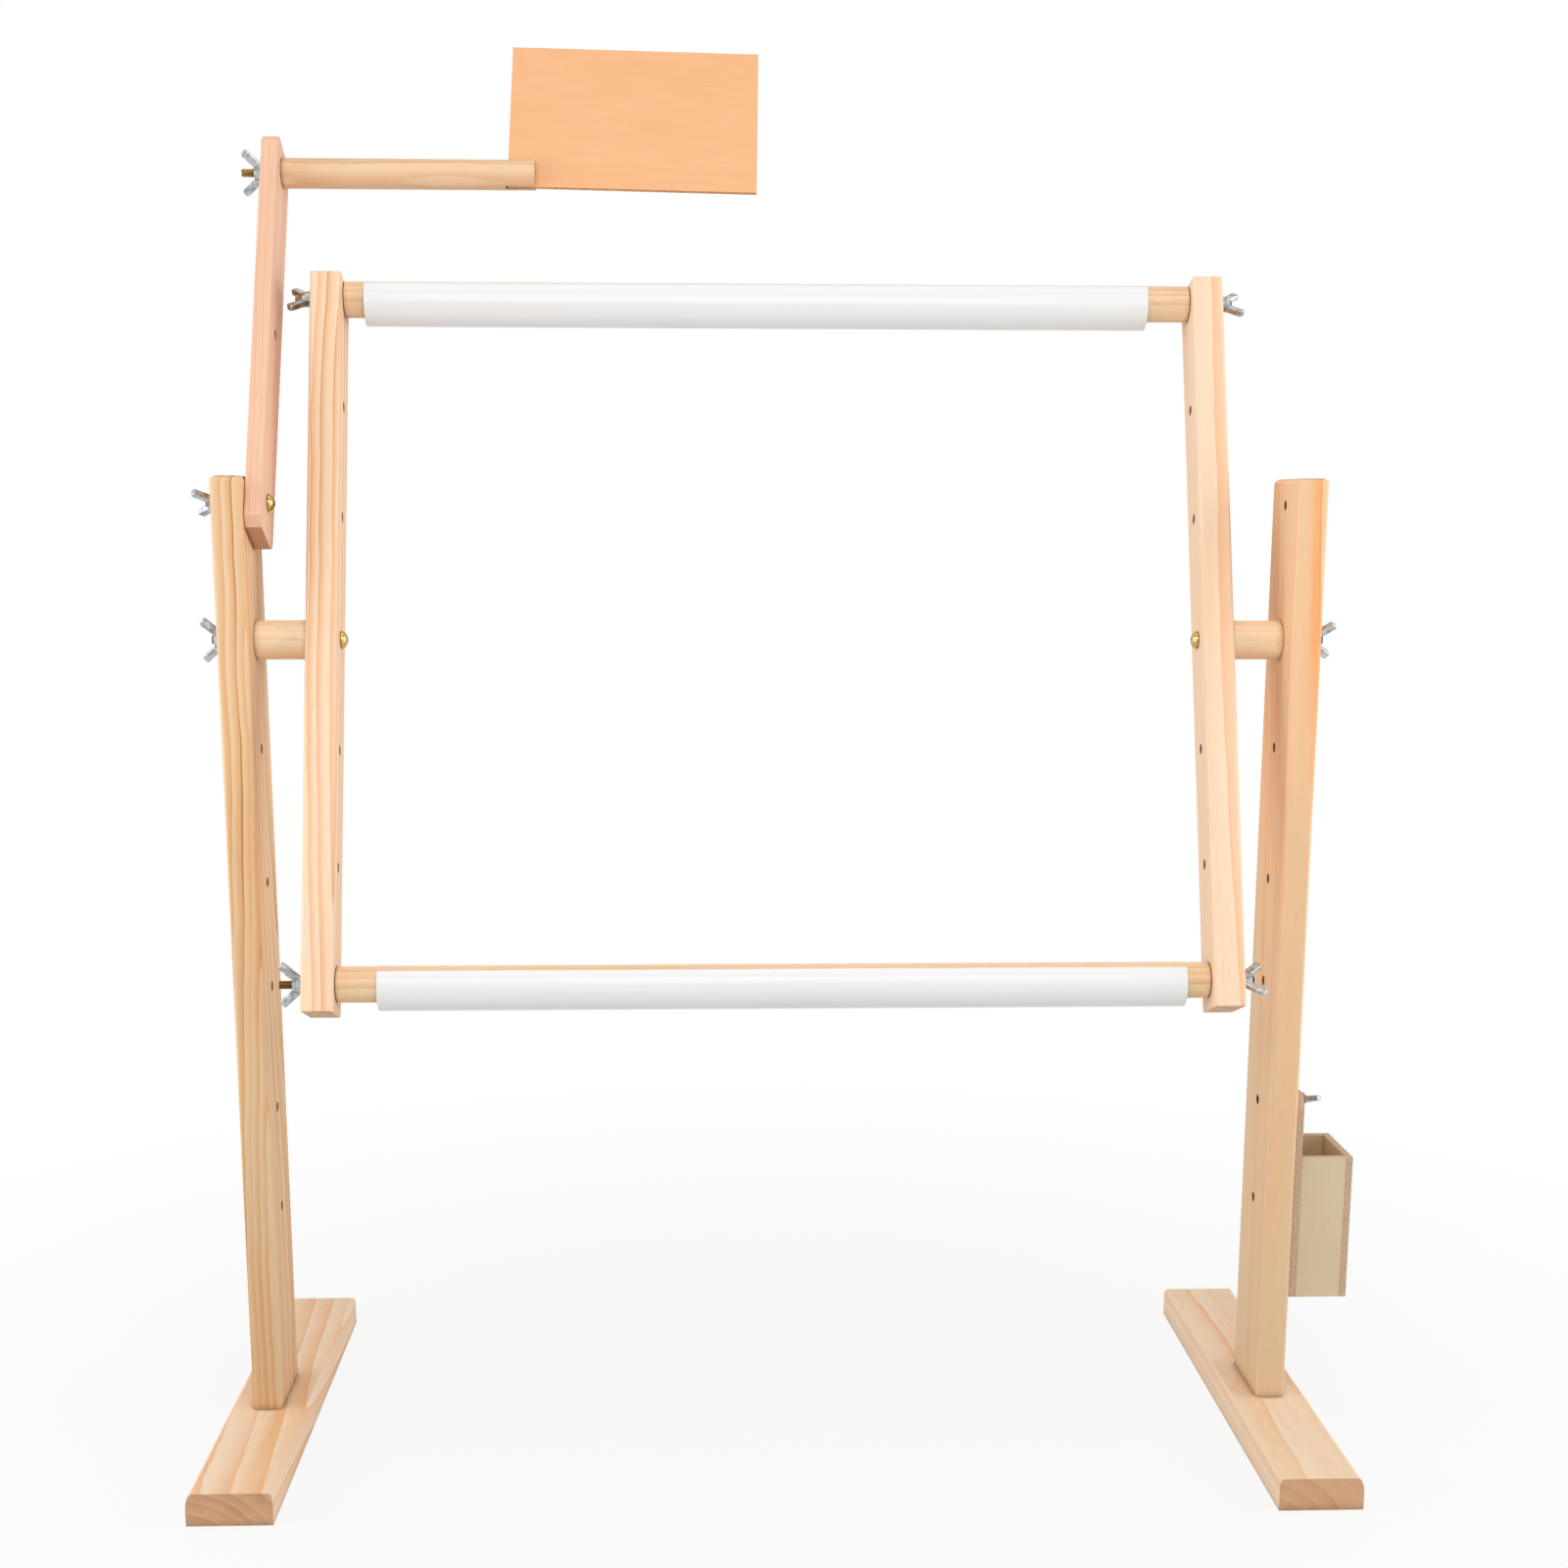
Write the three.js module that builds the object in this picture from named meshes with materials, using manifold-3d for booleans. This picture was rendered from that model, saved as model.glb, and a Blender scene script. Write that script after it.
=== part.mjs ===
// Floor-standing scroll frame for embroidery, in millimetres, +Z up, front towards -Y.
// Two posts on plank feet carry a tilting frame with two scroll rods, a chart holder and a tool box.

import * as THREE from 'three';
import { mergeVertices } from 'three/addons/utils/BufferGeometryUtils.js';
import Module from 'manifold-3d';

const wasm = await Module();
wasm.setup();

// Stand: posts and feet
const standWidth = 730; // over the posts' outer faces
const postThickness = 20;
const postDepth = 70;
const postHoleHeights = [138.5, 210.5, 296.5, 369, 460, 533, 622.5]; // above the post's lower end
const postTopMargin = 17.5; // from the highest hole to the top
const postEdgeRound = 2.5;
const postTopRound = 5;
const footWidth = 56;
const footHeight = 22;
const footFrontReach = 176; // forward of the post's middle
const footRearReach = 202;
const footOuterRound = { across: 4.5, down: 11 };
const footInnerRound = { across: 2.5, down: 6 };
const footRearRound = 5;
const footBreak = 1;

// Tilting frame
const spacerLength = 35;
const spacerDiameter = 26;
const barThickness = 21;
const barDepth = 40;
const barHoleHeights = [20, 98, 177, 252.5, 337, 414, 490]; // above the bar's lower end
const barTopMargin = 12; // from the highest hole to the top
const barEdgeRound = 2.5;
const barEndBreak = 1.5;
const frameTilt = 18.5; // degrees, top away from the front
const rodDiameter = 24;
const dowelBreak = 0.5; // bevel on the ends of rods and spacers
const clipBore = 27.6;
const clipWall = 2;
const clipMouth = 66; // degrees of the clip's round that are open
const topClipBare = { left: 14, right: 29.4 }; // rod left bare beside the clip
const bottomClipBare = { left: 27.2, right: 16.2 };

// Chart holder
const armThickness = 11;
const armWidth = 45;
const armHoleHeights = [25.5, 149.5, 273.5]; // above the arm's lower end
const armTopMargin = 17.5;
const armCornerRound = 8;
const armEdgeBreak = 1;
const armLean = 26.5; // degrees, top away from the front
const chartRodDiameter = 20;
const chartRodLength = 173;
const kerfDepth = 20;
const boardWidth = 172;
const boardHeight = 110.5;
const boardThickness = 3;
const boardSkew = 1.3; // degrees that the board sits off square in its kerf
const boardLift = 0.6; // from the rod's underside up to the board's lower corner
const kerfEndGap = 1; // from the board's side edge to the bottom of the kerf

// Tool box
const boxPly = 5;
const boxWidth = 41; // over the two plates
const boxDepth = 64;
const boxHeight = 102.5;
const boxHang = 136.5; // from the bolt down to the box's lower edge
const boxPlateRise = 11; // of the back plate above the bolt
const boxPlateRound = 12;

// M6 hardware, with wood screws in the feet
const boltDiameter = 6;
const boltHole = 7;
const headDiameter = 12;
const headHeight = 4.5;
const headRim = 0.6; // straight part of the head under its dome
const recessWidth = 1.4;
const recessSpan = 6.4;
const recessDepth = 2.4;
const pivotBoltLength = 86;
const armBoltLength = 41;
const boxBoltLength = 35;
const threadBreak = 0.8; // bevel at the outer end of a bolt or stud
const studLead = { across: 1.2, along: 2 }; // bevel at a stud's inner end
const studGrip = 26; // length of a rod's stud inside the rod
const topStudReach = { left: 12.5, right: 10 }; // length of it beyond the bar
const bottomStudReach = { left: 17, right: 10 };
const chartStudReach = 17;
const nutHubHeight = 7.5;
const nutHubBase = 12;
const nutHubTop = 9.5;
const nutBaseBreak = 0.5;
const nutBaseRim = 1.5; // straight part of the hub at its base
const nutTopBreak = 0.6;
const nutSpan = 28;
const nutHeight = 15;
const wingThickness = 3.6;
const wingRoot = 6;
const wingTip = 4.5;
const wingRootOut = 3.3; // from the bolt's axis to the middle of the wing's root
const wingLift = 0.4; // of the wing's root off the bearing face
const screwDiameter = 4;
const screwLength = 55;
const screwHead = 8;
const screwHeadDepth = 3;
const screwSunk = 1;
const screwSpacing = 36;

// Degrees that each wing nut stands turned
const nutSpin = {
  pivot: { left: 18, right: 38 },
  topRod: { left: 136, right: 138 },
  bottomRod: { left: 26, right: 140 },
  arm: 61,
  chartRod: 36,
  box: 73,
};

// Clearances
const running = 0.3; // between faces that turn on each other
const seat = 0.3; // between a stud, screw or clip and what it grips
const glueLine = 0.2; // between glued boards of a turned group
const kerfSlack = 0.3; // each side of the board in its kerf
const overCut = 1; // reach of a cutting shape beyond the face it opens

// Facets round a full turn, and steps round a small edge
const rodFacets = 36;
const boreFacets = 24;
const hardwareFacets = 20;
const screwFacets = 16;
const clipSteps = 20;
const wingSteps = 4;
const fineSteps = 2;
const edgeSteps = 4;
const roundSteps = 5;
const domeSteps = 6;

// Places that follow from the sizes
const postLength = postHoleHeights.at(-1) + postTopMargin;
const barLength = barHoleHeights.at(-1) + barTopMargin;
const armLength = armHoleHeights.at(-1) + armTopMargin;
const postInner = standWidth / 2 - postThickness;
const barOuter = postInner - spacerLength;
const barInner = barOuter - barThickness;
const boxHole = footHeight + postHoleHeights[1];
const pivotHeight = footHeight + postHoleHeights[5];
const armPivotHeight = footHeight + postHoleHeights[6];
const barPivot = barHoleHeights[3];
const bottomRodAt = barHoleHeights[0] - barPivot;
const topRodAt = barHoleHeights.at(-1) - barPivot;

const sides = { left: -1, right: 1 };
const quarter = Math.PI / 2;
const turn = THREE.MathUtils.degToRad;

function finish(color, roughness, metalness = 0) {
  return new THREE.MeshStandardMaterial({ color, roughness, metalness });
}

const pine = finish('#e9c8a0', 0.62);
const pinkWood = finish('#eec0a0', 0.62);
const ply = finish('#f0bd85', 0.6);
const boxPlyFinish = finish('#cdb494', 0.7);
const whitePlastic = finish('#f4f4f2', 0.35);
const greyZinc = finish('#9fa1a0', 0.4, 1);
const yellowZinc = finish('#b5a468', 0.35, 1);

function solid(geometry) {
  const bare = geometry.clone();
  bare.deleteAttribute('normal');
  bare.deleteAttribute('uv');
  const merged = mergeVertices(bare, 1e-4);
  return new wasm.Manifold(new wasm.Mesh({
    numProp: 3,
    vertProperties: new Float32Array(merged.attributes.position.array),
    triVerts: new Uint32Array(merged.index.array),
  }));
}

function geometryOf(body) {
  const mesh = body.getMesh();
  const geometry = new THREE.BufferGeometry();
  geometry.setAttribute('position', new THREE.BufferAttribute(mesh.vertProperties, 3));
  geometry.setIndex(new THREE.BufferAttribute(mesh.triVerts, 1));
  const faceted = geometry.toNonIndexed();
  faceted.computeVertexNormals();
  return faceted;
}

function piece(name, geometry, material) {
  const mesh = new THREE.Mesh(geometry, material);
  mesh.name = name;
  return mesh;
}

// An outline with its own round at each corner, given as [x, y, across, down]
function roundedOutline(corners, steps = roundSteps) {
  const points = [];
  corners.forEach(([x, y, across = 0, down = across], i) => {
    if (across === 0) {
      points.push(new THREE.Vector2(x, y));
      return;
    }
    const before = corners.at(i - 1);
    const after = corners[(i + 1) % corners.length];
    const size = new THREE.Vector2(across, down);
    const centre = new THREE.Vector2(x, y);
    for (const next of [before, after]) {
      centre.x += Math.sign(next[0] - x) * size.x;
      centre.y += Math.sign(next[1] - y) * size.y;
    }
    const start = new THREE.Vector2(Math.sign(x - before[0]), Math.sign(y - before[1]));
    const end = new THREE.Vector2(Math.sign(after[0] - x), Math.sign(after[1] - y));
    for (let step = 0; step <= steps; step += 1) {
      const angle = quarter * (1 - step / steps);
      const u = Math.cos(angle);
      const v = Math.sin(angle);
      points.push(new THREE.Vector2(
        centre.x + size.x * (start.x * u - end.x * v),
        centre.y + size.y * (start.y * u - end.y * v),
      ));
    }
  });
  return new THREE.Shape(points);
}

// Outline in (Y, Z) carried from x0 to x1, in (X, Z) from y0 to y1, or in (X, Y) from z0 to z1
function alongX(shape, x0, x1) {
  const geometry = new THREE.ExtrudeGeometry(shape, { depth: x1 - x0, bevelEnabled: false });
  geometry.applyMatrix4(new THREE.Matrix4().set(0, 0, 1, x0, 1, 0, 0, 0, 0, 1, 0, 0, 0, 0, 0, 1));
  return solid(geometry);
}

function alongY(shape, y0, y1) {
  const geometry = new THREE.ExtrudeGeometry(shape, { depth: y1 - y0, bevelEnabled: false });
  geometry.applyMatrix4(new THREE.Matrix4().set(1, 0, 0, 0, 0, 0, -1, y1, 0, 1, 0, 0, 0, 0, 0, 1));
  return solid(geometry);
}

function alongZ(shape, z0, z1) {
  const geometry = new THREE.ExtrudeGeometry(shape, { depth: z1 - z0, bevelEnabled: false });
  geometry.translate(0, 0, z0);
  return solid(geometry);
}

function rectangle(x0, y0, x1, y1) {
  return roundedOutline([[x0, y0], [x1, y0], [x1, y1], [x0, y1]]);
}

// A profile of [radius, height] pairs revolved about the X axis, height running along +X
function revolvedX(profile, facets) {
  const geometry = new THREE.LatheGeometry(profile.map(([r, h]) => new THREE.Vector2(r, h)), facets);
  geometry.applyMatrix4(new THREE.Matrix4().set(0, 1, 0, 0, 0, 0, 1, 0, 1, 0, 0, 0, 0, 0, 0, 1));
  return solid(geometry);
}

function revolvedZ(profile, facets) {
  const geometry = new THREE.LatheGeometry(profile.map(([r, h]) => new THREE.Vector2(r, h)), facets);
  geometry.rotateX(quarter);
  return solid(geometry);
}

function roundBar(diameter, x0, x1, facets = boreFacets) {
  return revolvedX([[0, x0], [diameter / 2, x0], [diameter / 2, x1], [0, x1]], facets);
}

// Round bar with its end edges broken
function dowel(diameter, x0, x1) {
  const r = diameter / 2;
  const e = dowelBreak;
  return revolvedX([[0, x0], [r - e, x0], [r, x0 + e], [r, x1 - e], [r - e, x1], [0, x1]], rodFacets);
}

function drilled(body, holes, diameter, x0, x1) {
  let result = body;
  for (const [y, z] of holes) {
    const drill = roundBar(diameter, x0 - overCut, x1 + overCut, hardwareFacets);
    result = result.subtract(drill.translate([0, y, z]));
  }
  return result;
}

// Feet: planks with eased upper edges, the outer one more than the inner
function foot(side) {
  const middle = side * (standWidth / 2 - postThickness / 2);
  const half = footWidth / 2;
  const outer = middle + side * half;
  const inner = middle - side * half;
  const leftRound = side < 0 ? footOuterRound : footInnerRound;
  const rightRound = side < 0 ? footInnerRound : footOuterRound;
  const [left, right] = [Math.min(inner, outer), Math.max(inner, outer)];
  const section = roundedOutline([
    [left, 0, footBreak],
    [right, 0, footBreak],
    [right, footHeight, rightRound.across, rightRound.down],
    [left, footHeight, leftRound.across, leftRound.down],
  ]);
  const profile = roundedOutline([
    [-footFrontReach, 0],
    [footRearReach, 0],
    [footRearReach, footHeight, footRearRound],
    [-footFrontReach, footHeight, footBreak],
  ]);
  let body = alongY(section, -footFrontReach, footRearReach).intersect(alongX(profile, left, right));
  for (const y of [-screwSpacing / 2, screwSpacing / 2]) {
    body = body.subtract(footScrewHole().translate([middle, y, 0]));
  }
  return geometryOf(body);
}

// Countersunk wood screw driven up through the foot into the post's end
function footScrew() {
  const r = screwDiameter / 2;
  const tip = screwSunk + screwLength;
  return geometryOf(revolvedZ([
    [0, screwSunk],
    [screwHead / 2, screwSunk],
    [r, screwSunk + screwHeadDepth],
    [r, tip - 2 * screwDiameter],
    [0, tip],
  ], screwFacets));
}

function footScrewHole() {
  const r = screwDiameter / 2 + seat;
  const mouth = screwHead / 2 + seat;
  return revolvedZ([
    [0, -overCut],
    [mouth, -overCut],
    [mouth, screwSunk],
    [r, screwSunk + screwHeadDepth + seat],
    [r, footHeight + postLength],
    [0, footHeight + postLength],
  ], screwFacets);
}

function postScrewHole() {
  const r = screwDiameter / 2 + seat;
  const top = screwSunk + screwLength + seat;
  return revolvedZ([[0, 0], [r, 0], [r, top], [0, top]], screwFacets);
}

// Posts: planks on edge with a row of bolt holes
function post(side) {
  const outer = side * (standWidth / 2);
  const inner = side * postInner;
  const [left, right] = [Math.min(inner, outer), Math.max(inner, outer)];
  const half = postDepth / 2;
  const top = footHeight + postLength;
  const r = postEdgeRound;
  const section = roundedOutline([
    [left, -half, r], [right, -half, r], [right, half, r], [left, half, r],
  ], edgeSteps);
  const profile = roundedOutline([
    [-half, footHeight], [half, footHeight], [half, top, postTopRound], [-half, top, postTopRound],
  ]);
  let body = alongZ(section, footHeight, top).intersect(alongX(profile, left, right));
  body = drilled(body, postHoleHeights.map((z) => [0, footHeight + z]), boltHole, left, right);
  for (const y of [-screwSpacing / 2, screwSpacing / 2]) {
    body = body.subtract(postScrewHole().translate([(left + right) / 2, y, 0]));
  }
  return geometryOf(body);
}

// Spacers: short dowels on the pivot bolts between post and bar
function spacer(side) {
  const x0 = side < 0 ? -postInner : barOuter + running;
  const x1 = side < 0 ? -barOuter - running : postInner;
  const body = dowel(spacerDiameter, x0, x1).translate([0, 0, pivotHeight]);
  return geometryOf(drilled(body, [[0, pivotHeight]], boltHole, x0, x1));
}

// Side bars, drawn upright about the pivot
function sideBar(side) {
  const outer = side * barOuter;
  const inner = side * barInner;
  const [left, right] = [Math.min(inner, outer), Math.max(inner, outer)];
  const half = barDepth / 2;
  const r = barEdgeRound;
  const section = roundedOutline([
    [left, -half, r], [right, -half, r], [right, half, r], [left, half, r],
  ], edgeSteps);
  const low = -barPivot;
  const high = barLength - barPivot;
  const profile = roundedOutline([
    [-half, low, barEndBreak], [half, low, barEndBreak],
    [half, high, barEndBreak], [-half, high, barEndBreak],
  ], fineSteps);
  const body = alongZ(section, low, high).intersect(alongX(profile, left, right));
  return geometryOf(drilled(body, barHoleHeights.map((z) => [0, z - barPivot]), boltHole, left, right));
}

// Pan-head bolt with a cross recess, its head bearing at x = 0 and its shank along +X
function panBolt(length) {
  const r = headDiameter / 2;
  const profile = [[0, -headHeight]];
  for (let step = 1; step <= domeSteps; step += 1) {
    const angle = quarter * step / domeSteps;
    profile.push([r * Math.sin(angle), (headRim - headHeight) * Math.cos(angle) - headRim]);
  }
  const shank = boltDiameter / 2;
  const e = threadBreak;
  profile.push([r, 0], [shank, 0], [shank, length - e], [shank - e, length], [0, length]);
  let body = revolvedX(profile, hardwareFacets);
  const arm = alongX(rectangle(-recessSpan / 2, -recessWidth / 2, recessSpan / 2, recessWidth / 2),
    -headHeight - overCut, -headHeight + recessDepth);
  body = body.subtract(arm).subtract(arm.rotate([90, 0, 0]));
  return geometryOf(body);
}

// Wing nut standing on x = 0, its wings splayed along +X and +-Z
function wingNut() {
  const bore = boltDiameter / 2 + seat;
  const base = nutHubBase / 2;
  const neck = nutHubTop / 2;
  let body = revolvedX([
    [0, 0],
    [base - nutBaseBreak, 0],
    [base, nutBaseBreak],
    [base, nutBaseRim],
    [neck, nutHubHeight - nutTopBreak],
    [neck - nutTopBreak, nutHubHeight],
    [0, nutHubHeight],
  ], hardwareFacets);
  const reach = nutSpan / 2 - wingTip / 2;
  const height = nutHeight - wingTip / 2;
  const rootAt = new THREE.Vector2(wingRootOut, wingRoot / 2 + wingLift);
  const tipAt = new THREE.Vector2(reach, height);
  const slope = Math.atan2(tipAt.y - rootAt.y, tipAt.x - rootAt.x);
  const outline = new THREE.Shape();
  outline.absarc(tipAt.x, tipAt.y, wingTip / 2, slope - quarter, slope + quarter, false);
  outline.absarc(rootAt.x, rootAt.y, wingRoot / 2, slope + quarter, slope + 3 * quarter, false);
  outline.closePath();
  for (const side of [-1, 1]) {
    const wing = new THREE.ExtrudeGeometry(outline, {
      depth: wingThickness,
      bevelEnabled: false,
      curveSegments: wingSteps,
    });
    wing.translate(0, 0, -wingThickness / 2);
    // the outline's x runs along Z here, and its y along X
    wing.applyMatrix4(new THREE.Matrix4().set(0, 1, 0, 0, 0, 0, side, 0, side, 0, 0, 0, 0, 0, 0, 1));
    body = body.add(solid(wing));
  }
  body = body.subtract(roundBar(2 * bore, -overCut, nutHeight + overCut, hardwareFacets));
  return geometryOf(body);
}

// Threaded stud along X, from inside the rod to beyond the bar
function stud(x0, x1) {
  const r = boltDiameter / 2;
  const e = threadBreak;
  return geometryOf(revolvedX([
    [0, x0],
    [r - studLead.across, x0],
    [r, x0 + studLead.along],
    [r, x1 - e],
    [r - e, x1],
    [0, x1],
  ], boreFacets));
}

// Scroll rod with a bore in each end for its stud
function scrollRod() {
  const end = barInner - running;
  let body = dowel(rodDiameter, -end, end);
  const bore = boltDiameter + 2 * seat;
  const deep = studGrip + seat;
  body = body.subtract(roundBar(bore, -end - overCut, -end + deep));
  body = body.subtract(roundBar(bore, end - deep, end + overCut));
  return geometryOf(body);
}

// Spring clip: a split tube whose mouth faces up, hanging on the rod by its two lips
function fabricClip(bare) {
  const inner = clipBore / 2;
  const outer = inner + clipWall;
  const open = turn(clipMouth / 2);
  const touch = rodDiameter / 2 + seat;
  const drop = inner * Math.cos(open) - Math.sqrt(touch ** 2 - (inner * Math.sin(open)) ** 2);
  const outline = new THREE.Shape();
  const lip = clipWall / 2;
  const middle = inner + lip;
  outline.absarc(0, 0, outer, quarter + open, quarter - open + 2 * Math.PI, false);
  const lipY = middle * Math.sin(open);
  const lipZ = middle * Math.cos(open);
  outline.absarc(lipY, lipZ, lip, quarter - open, 3 * quarter - open, false);
  outline.absarc(0, 0, inner, quarter - open, quarter + open - 2 * Math.PI, true);
  outline.absarc(-lipY, lipZ, lip, open - quarter, open + quarter, false);
  const rodEnd = barInner - running;
  const section = new THREE.Shape(outline.getPoints(clipSteps));
  const tube = alongX(section, bare.left - rodEnd, rodEnd - bare.right);
  return geometryOf(tube.translate([0, 0, -drop]));
}

// Arm of the chart holder, drawn upright about its bolt
function chartArm() {
  const x0 = -postInner + running;
  const x1 = x0 + armThickness;
  const low = -armHoleHeights[0];
  const high = armLength - armHoleHeights[0];
  const half = armWidth / 2;
  const e = armEdgeBreak;
  const r = armCornerRound;
  const profile = roundedOutline([
    [-half, low, r], [half, low, r], [half, high, r], [-half, high, r],
  ]);
  const section = roundedOutline([[x0, -half, e], [x1, -half, e], [x1, half, e], [x0, half, e]], fineSteps);
  const body = alongX(profile, x0, x1).intersect(alongZ(section, low, high));
  return geometryOf(drilled(body, armHoleHeights.map((z) => [0, z + low]), boltHole, x0, x1));
}

const chartRodStart = -postInner + running + armThickness + running;
const chartRodEnd = chartRodStart + chartRodLength;

// Chart rod with a stud bore at the arm and a saw kerf for the board at its free end
function chartRod() {
  let body = dowel(chartRodDiameter, chartRodStart, chartRodEnd);
  const bore = boltDiameter + 2 * seat;
  body = body.subtract(roundBar(bore, chartRodStart - overCut, chartRodStart + studGrip + seat));
  const half = boardThickness / 2 + kerfSlack;
  const r = chartRodDiameter / 2 + overCut;
  const kerf = alongX(rectangle(-half, -r, half, r), chartRodEnd - kerfDepth, chartRodEnd + overCut);
  body = body.subtract(kerf);
  return geometryOf(body);
}

// Board held by its lower corner, drawn upright with y across its face
function chartBoard() {
  const x0 = chartRodEnd - kerfDepth + kerfEndGap;
  const low = boardLift - chartRodDiameter / 2;
  const outline = rectangle(0, low, boardWidth, low + boardHeight);
  const body = alongY(outline, -boardThickness / 2, boardThickness / 2);
  return geometryOf(body.rotate([0, boardSkew, 0]).translate([x0, 0, 0]));
}

// Tool box, drawn upright about its bolt
const boxInnerX = standWidth / 2 + running;
const boxOuterX = boxInnerX + boxWidth;
const boxLow = -boxHang;
const boxHigh = boxLow + boxHeight;

function boxPlate(x0, top, round) {
  const half = boxDepth / 2;
  return alongX(roundedOutline([[-half, boxLow], [half, boxLow], [half, top, round], [-half, top, round]]),
    x0, x0 + boxPly);
}

function boxBackPlate() {
  const plate = boxPlate(boxInnerX, boxPlateRise, boxPlateRound);
  return geometryOf(drilled(plate, [[0, 0]], boltHole, boxInnerX, boxInnerX + boxPly));
}

function boxOuterWall() {
  return geometryOf(boxPlate(boxOuterX - boxPly, boxHigh, 0));
}

function boxCrossWall(side) {
  const y = side * (boxDepth / 2);
  const [near, far] = [Math.min(y, y - side * boxPly), Math.max(y, y - side * boxPly)];
  return geometryOf(alongX(rectangle(near, boxLow, far, boxHigh), boxInnerX + boxPly, boxOuterX - boxPly));
}

function boxBottom() {
  const half = boxDepth / 2 - boxPly - glueLine;
  const outline = rectangle(-half, boxLow, half, boxLow + boxPly);
  return geometryOf(alongX(outline, boxInnerX + boxPly, boxOuterX - boxPly));
}

// A bolt or nut drawn along +X, set at a place and pointing outwards on either side
function facing(mesh, side, x, y = 0, z = 0, spin = 0) {
  const holder = new THREE.Group();
  holder.position.set(x, y, z);
  holder.rotation.set(turn(spin), 0, side < 0 ? Math.PI : 0);
  holder.add(mesh);
  return holder;
}

const stand = new THREE.Group();

for (const [name, side] of Object.entries(sides)) {
  const postMiddle = side * (standWidth / 2 - postThickness / 2);
  stand.add(piece(`foot_${name}`, foot(side), pine));
  stand.add(piece(`post_${name}`, post(side), pine));
  for (const [place, y] of [['front', -screwSpacing / 2], ['rear', screwSpacing / 2]]) {
    const screw = piece(`foot_screw_${name}_${place}`, footScrew(), yellowZinc);
    screw.position.set(postMiddle, y, 0);
    stand.add(screw);
  }
  stand.add(piece(`spacer_${name}`, spacer(side), pine));
  const bolt = piece(`pivot_bolt_${name}`, panBolt(pivotBoltLength), yellowZinc);
  stand.add(facing(bolt, side, side * (barInner - running), 0, pivotHeight));
  const nut = piece(`pivot_wing_nut_${name}`, wingNut(), greyZinc);
  stand.add(facing(nut, side, side * (standWidth / 2 + running), 0, pivotHeight, nutSpin.pivot[name]));
}

const frame = new THREE.Group();
frame.position.set(0, 0, pivotHeight);
frame.rotation.x = -turn(frameTilt);
stand.add(frame);

const rods = {
  top: { at: topRodAt, clipBare: topClipBare, studReach: topStudReach, spin: nutSpin.topRod },
  bottom: { at: bottomRodAt, clipBare: bottomClipBare, studReach: bottomStudReach, spin: nutSpin.bottomRod },
};

for (const [name, side] of Object.entries(sides)) {
  frame.add(piece(`side_bar_${name}`, sideBar(side), pine));
}
for (const [name, { at, clipBare, studReach, spin }] of Object.entries(rods)) {
  const holder = new THREE.Group();
  holder.position.set(0, 0, at);
  frame.add(holder);
  holder.add(piece(`scroll_rod_${name}`, scrollRod(), pine));
  const hung = piece(`fabric_clip_${name}`, fabricClip(clipBare), whitePlastic);
  hung.rotation.x = turn(frameTilt);
  holder.add(hung);
  for (const [sideName, side] of Object.entries(sides)) {
    const from = barInner - running - studGrip;
    const to = barOuter + studReach[sideName];
    const rodStud = piece(`rod_stud_${name}_${sideName}`, stud(from, to), yellowZinc);
    holder.add(facing(rodStud, side, 0));
    const nut = piece(`rod_wing_nut_${name}_${sideName}`, wingNut(), greyZinc);
    holder.add(facing(nut, side, side * (barOuter + running), 0, 0, spin[sideName]));
  }
}

const holderArm = new THREE.Group();
holderArm.position.set(0, 0, armPivotHeight);
holderArm.rotation.x = -turn(armLean);
stand.add(holderArm);
holderArm.add(piece('chart_arm', chartArm(), pinkWood));
const armBolt = piece('chart_arm_bolt', panBolt(armBoltLength), yellowZinc);
stand.add(facing(armBolt, -1, chartRodStart, 0, armPivotHeight));
const armNut = piece('chart_arm_wing_nut', wingNut(), greyZinc);
stand.add(facing(armNut, -1, -standWidth / 2 - running, 0, armPivotHeight, nutSpin.arm));

const chart = new THREE.Group();
chart.position.set(0, 0, armHoleHeights.at(-1) - armHoleHeights[0]);
holderArm.add(chart);
chart.add(piece('chart_rod', chartRod(), pine));
const chartStud = stud(-chartRodStart - studGrip, postInner - running + chartStudReach);
chart.add(facing(piece('chart_rod_stud', chartStud, yellowZinc), -1, 0));
const chartNut = piece('chart_rod_wing_nut', wingNut(), greyZinc);
chart.add(facing(chartNut, -1, -postInner, 0, 0, nutSpin.chartRod));
chart.add(piece('chart_board', chartBoard(), ply));

const toolBox = new THREE.Group();
toolBox.position.set(0, 0, boxHole);
stand.add(toolBox);
toolBox.add(piece('box_back_plate', boxBackPlate(), boxPlyFinish));
toolBox.add(piece('box_front_wall', boxCrossWall(-1), boxPlyFinish));
toolBox.add(piece('box_rear_wall', boxCrossWall(1), boxPlyFinish));
toolBox.add(piece('box_outer_wall', boxOuterWall(), boxPlyFinish));
toolBox.add(piece('box_bottom', boxBottom(), boxPlyFinish));
const boxBolt = piece('box_bolt', panBolt(boxBoltLength), yellowZinc);
stand.add(facing(boxBolt, 1, postInner, 0, boxHole));
const boxNut = piece('box_wing_nut', wingNut(), greyZinc);
stand.add(facing(boxNut, 1, boxInnerX + boxPly + running, 0, boxHole, nutSpin.box));

// The origin is the middle of the whole stand's footprint, on the floor
stand.updateMatrixWorld(true);
const extent = new THREE.Box3().setFromObject(stand, true);
const middle = extent.getCenter(new THREE.Vector3());
stand.position.set(-middle.x, -middle.y, -extent.min.z);

export default stand;
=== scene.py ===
import math

import bpy
from mathutils import Matrix, Vector


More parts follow.
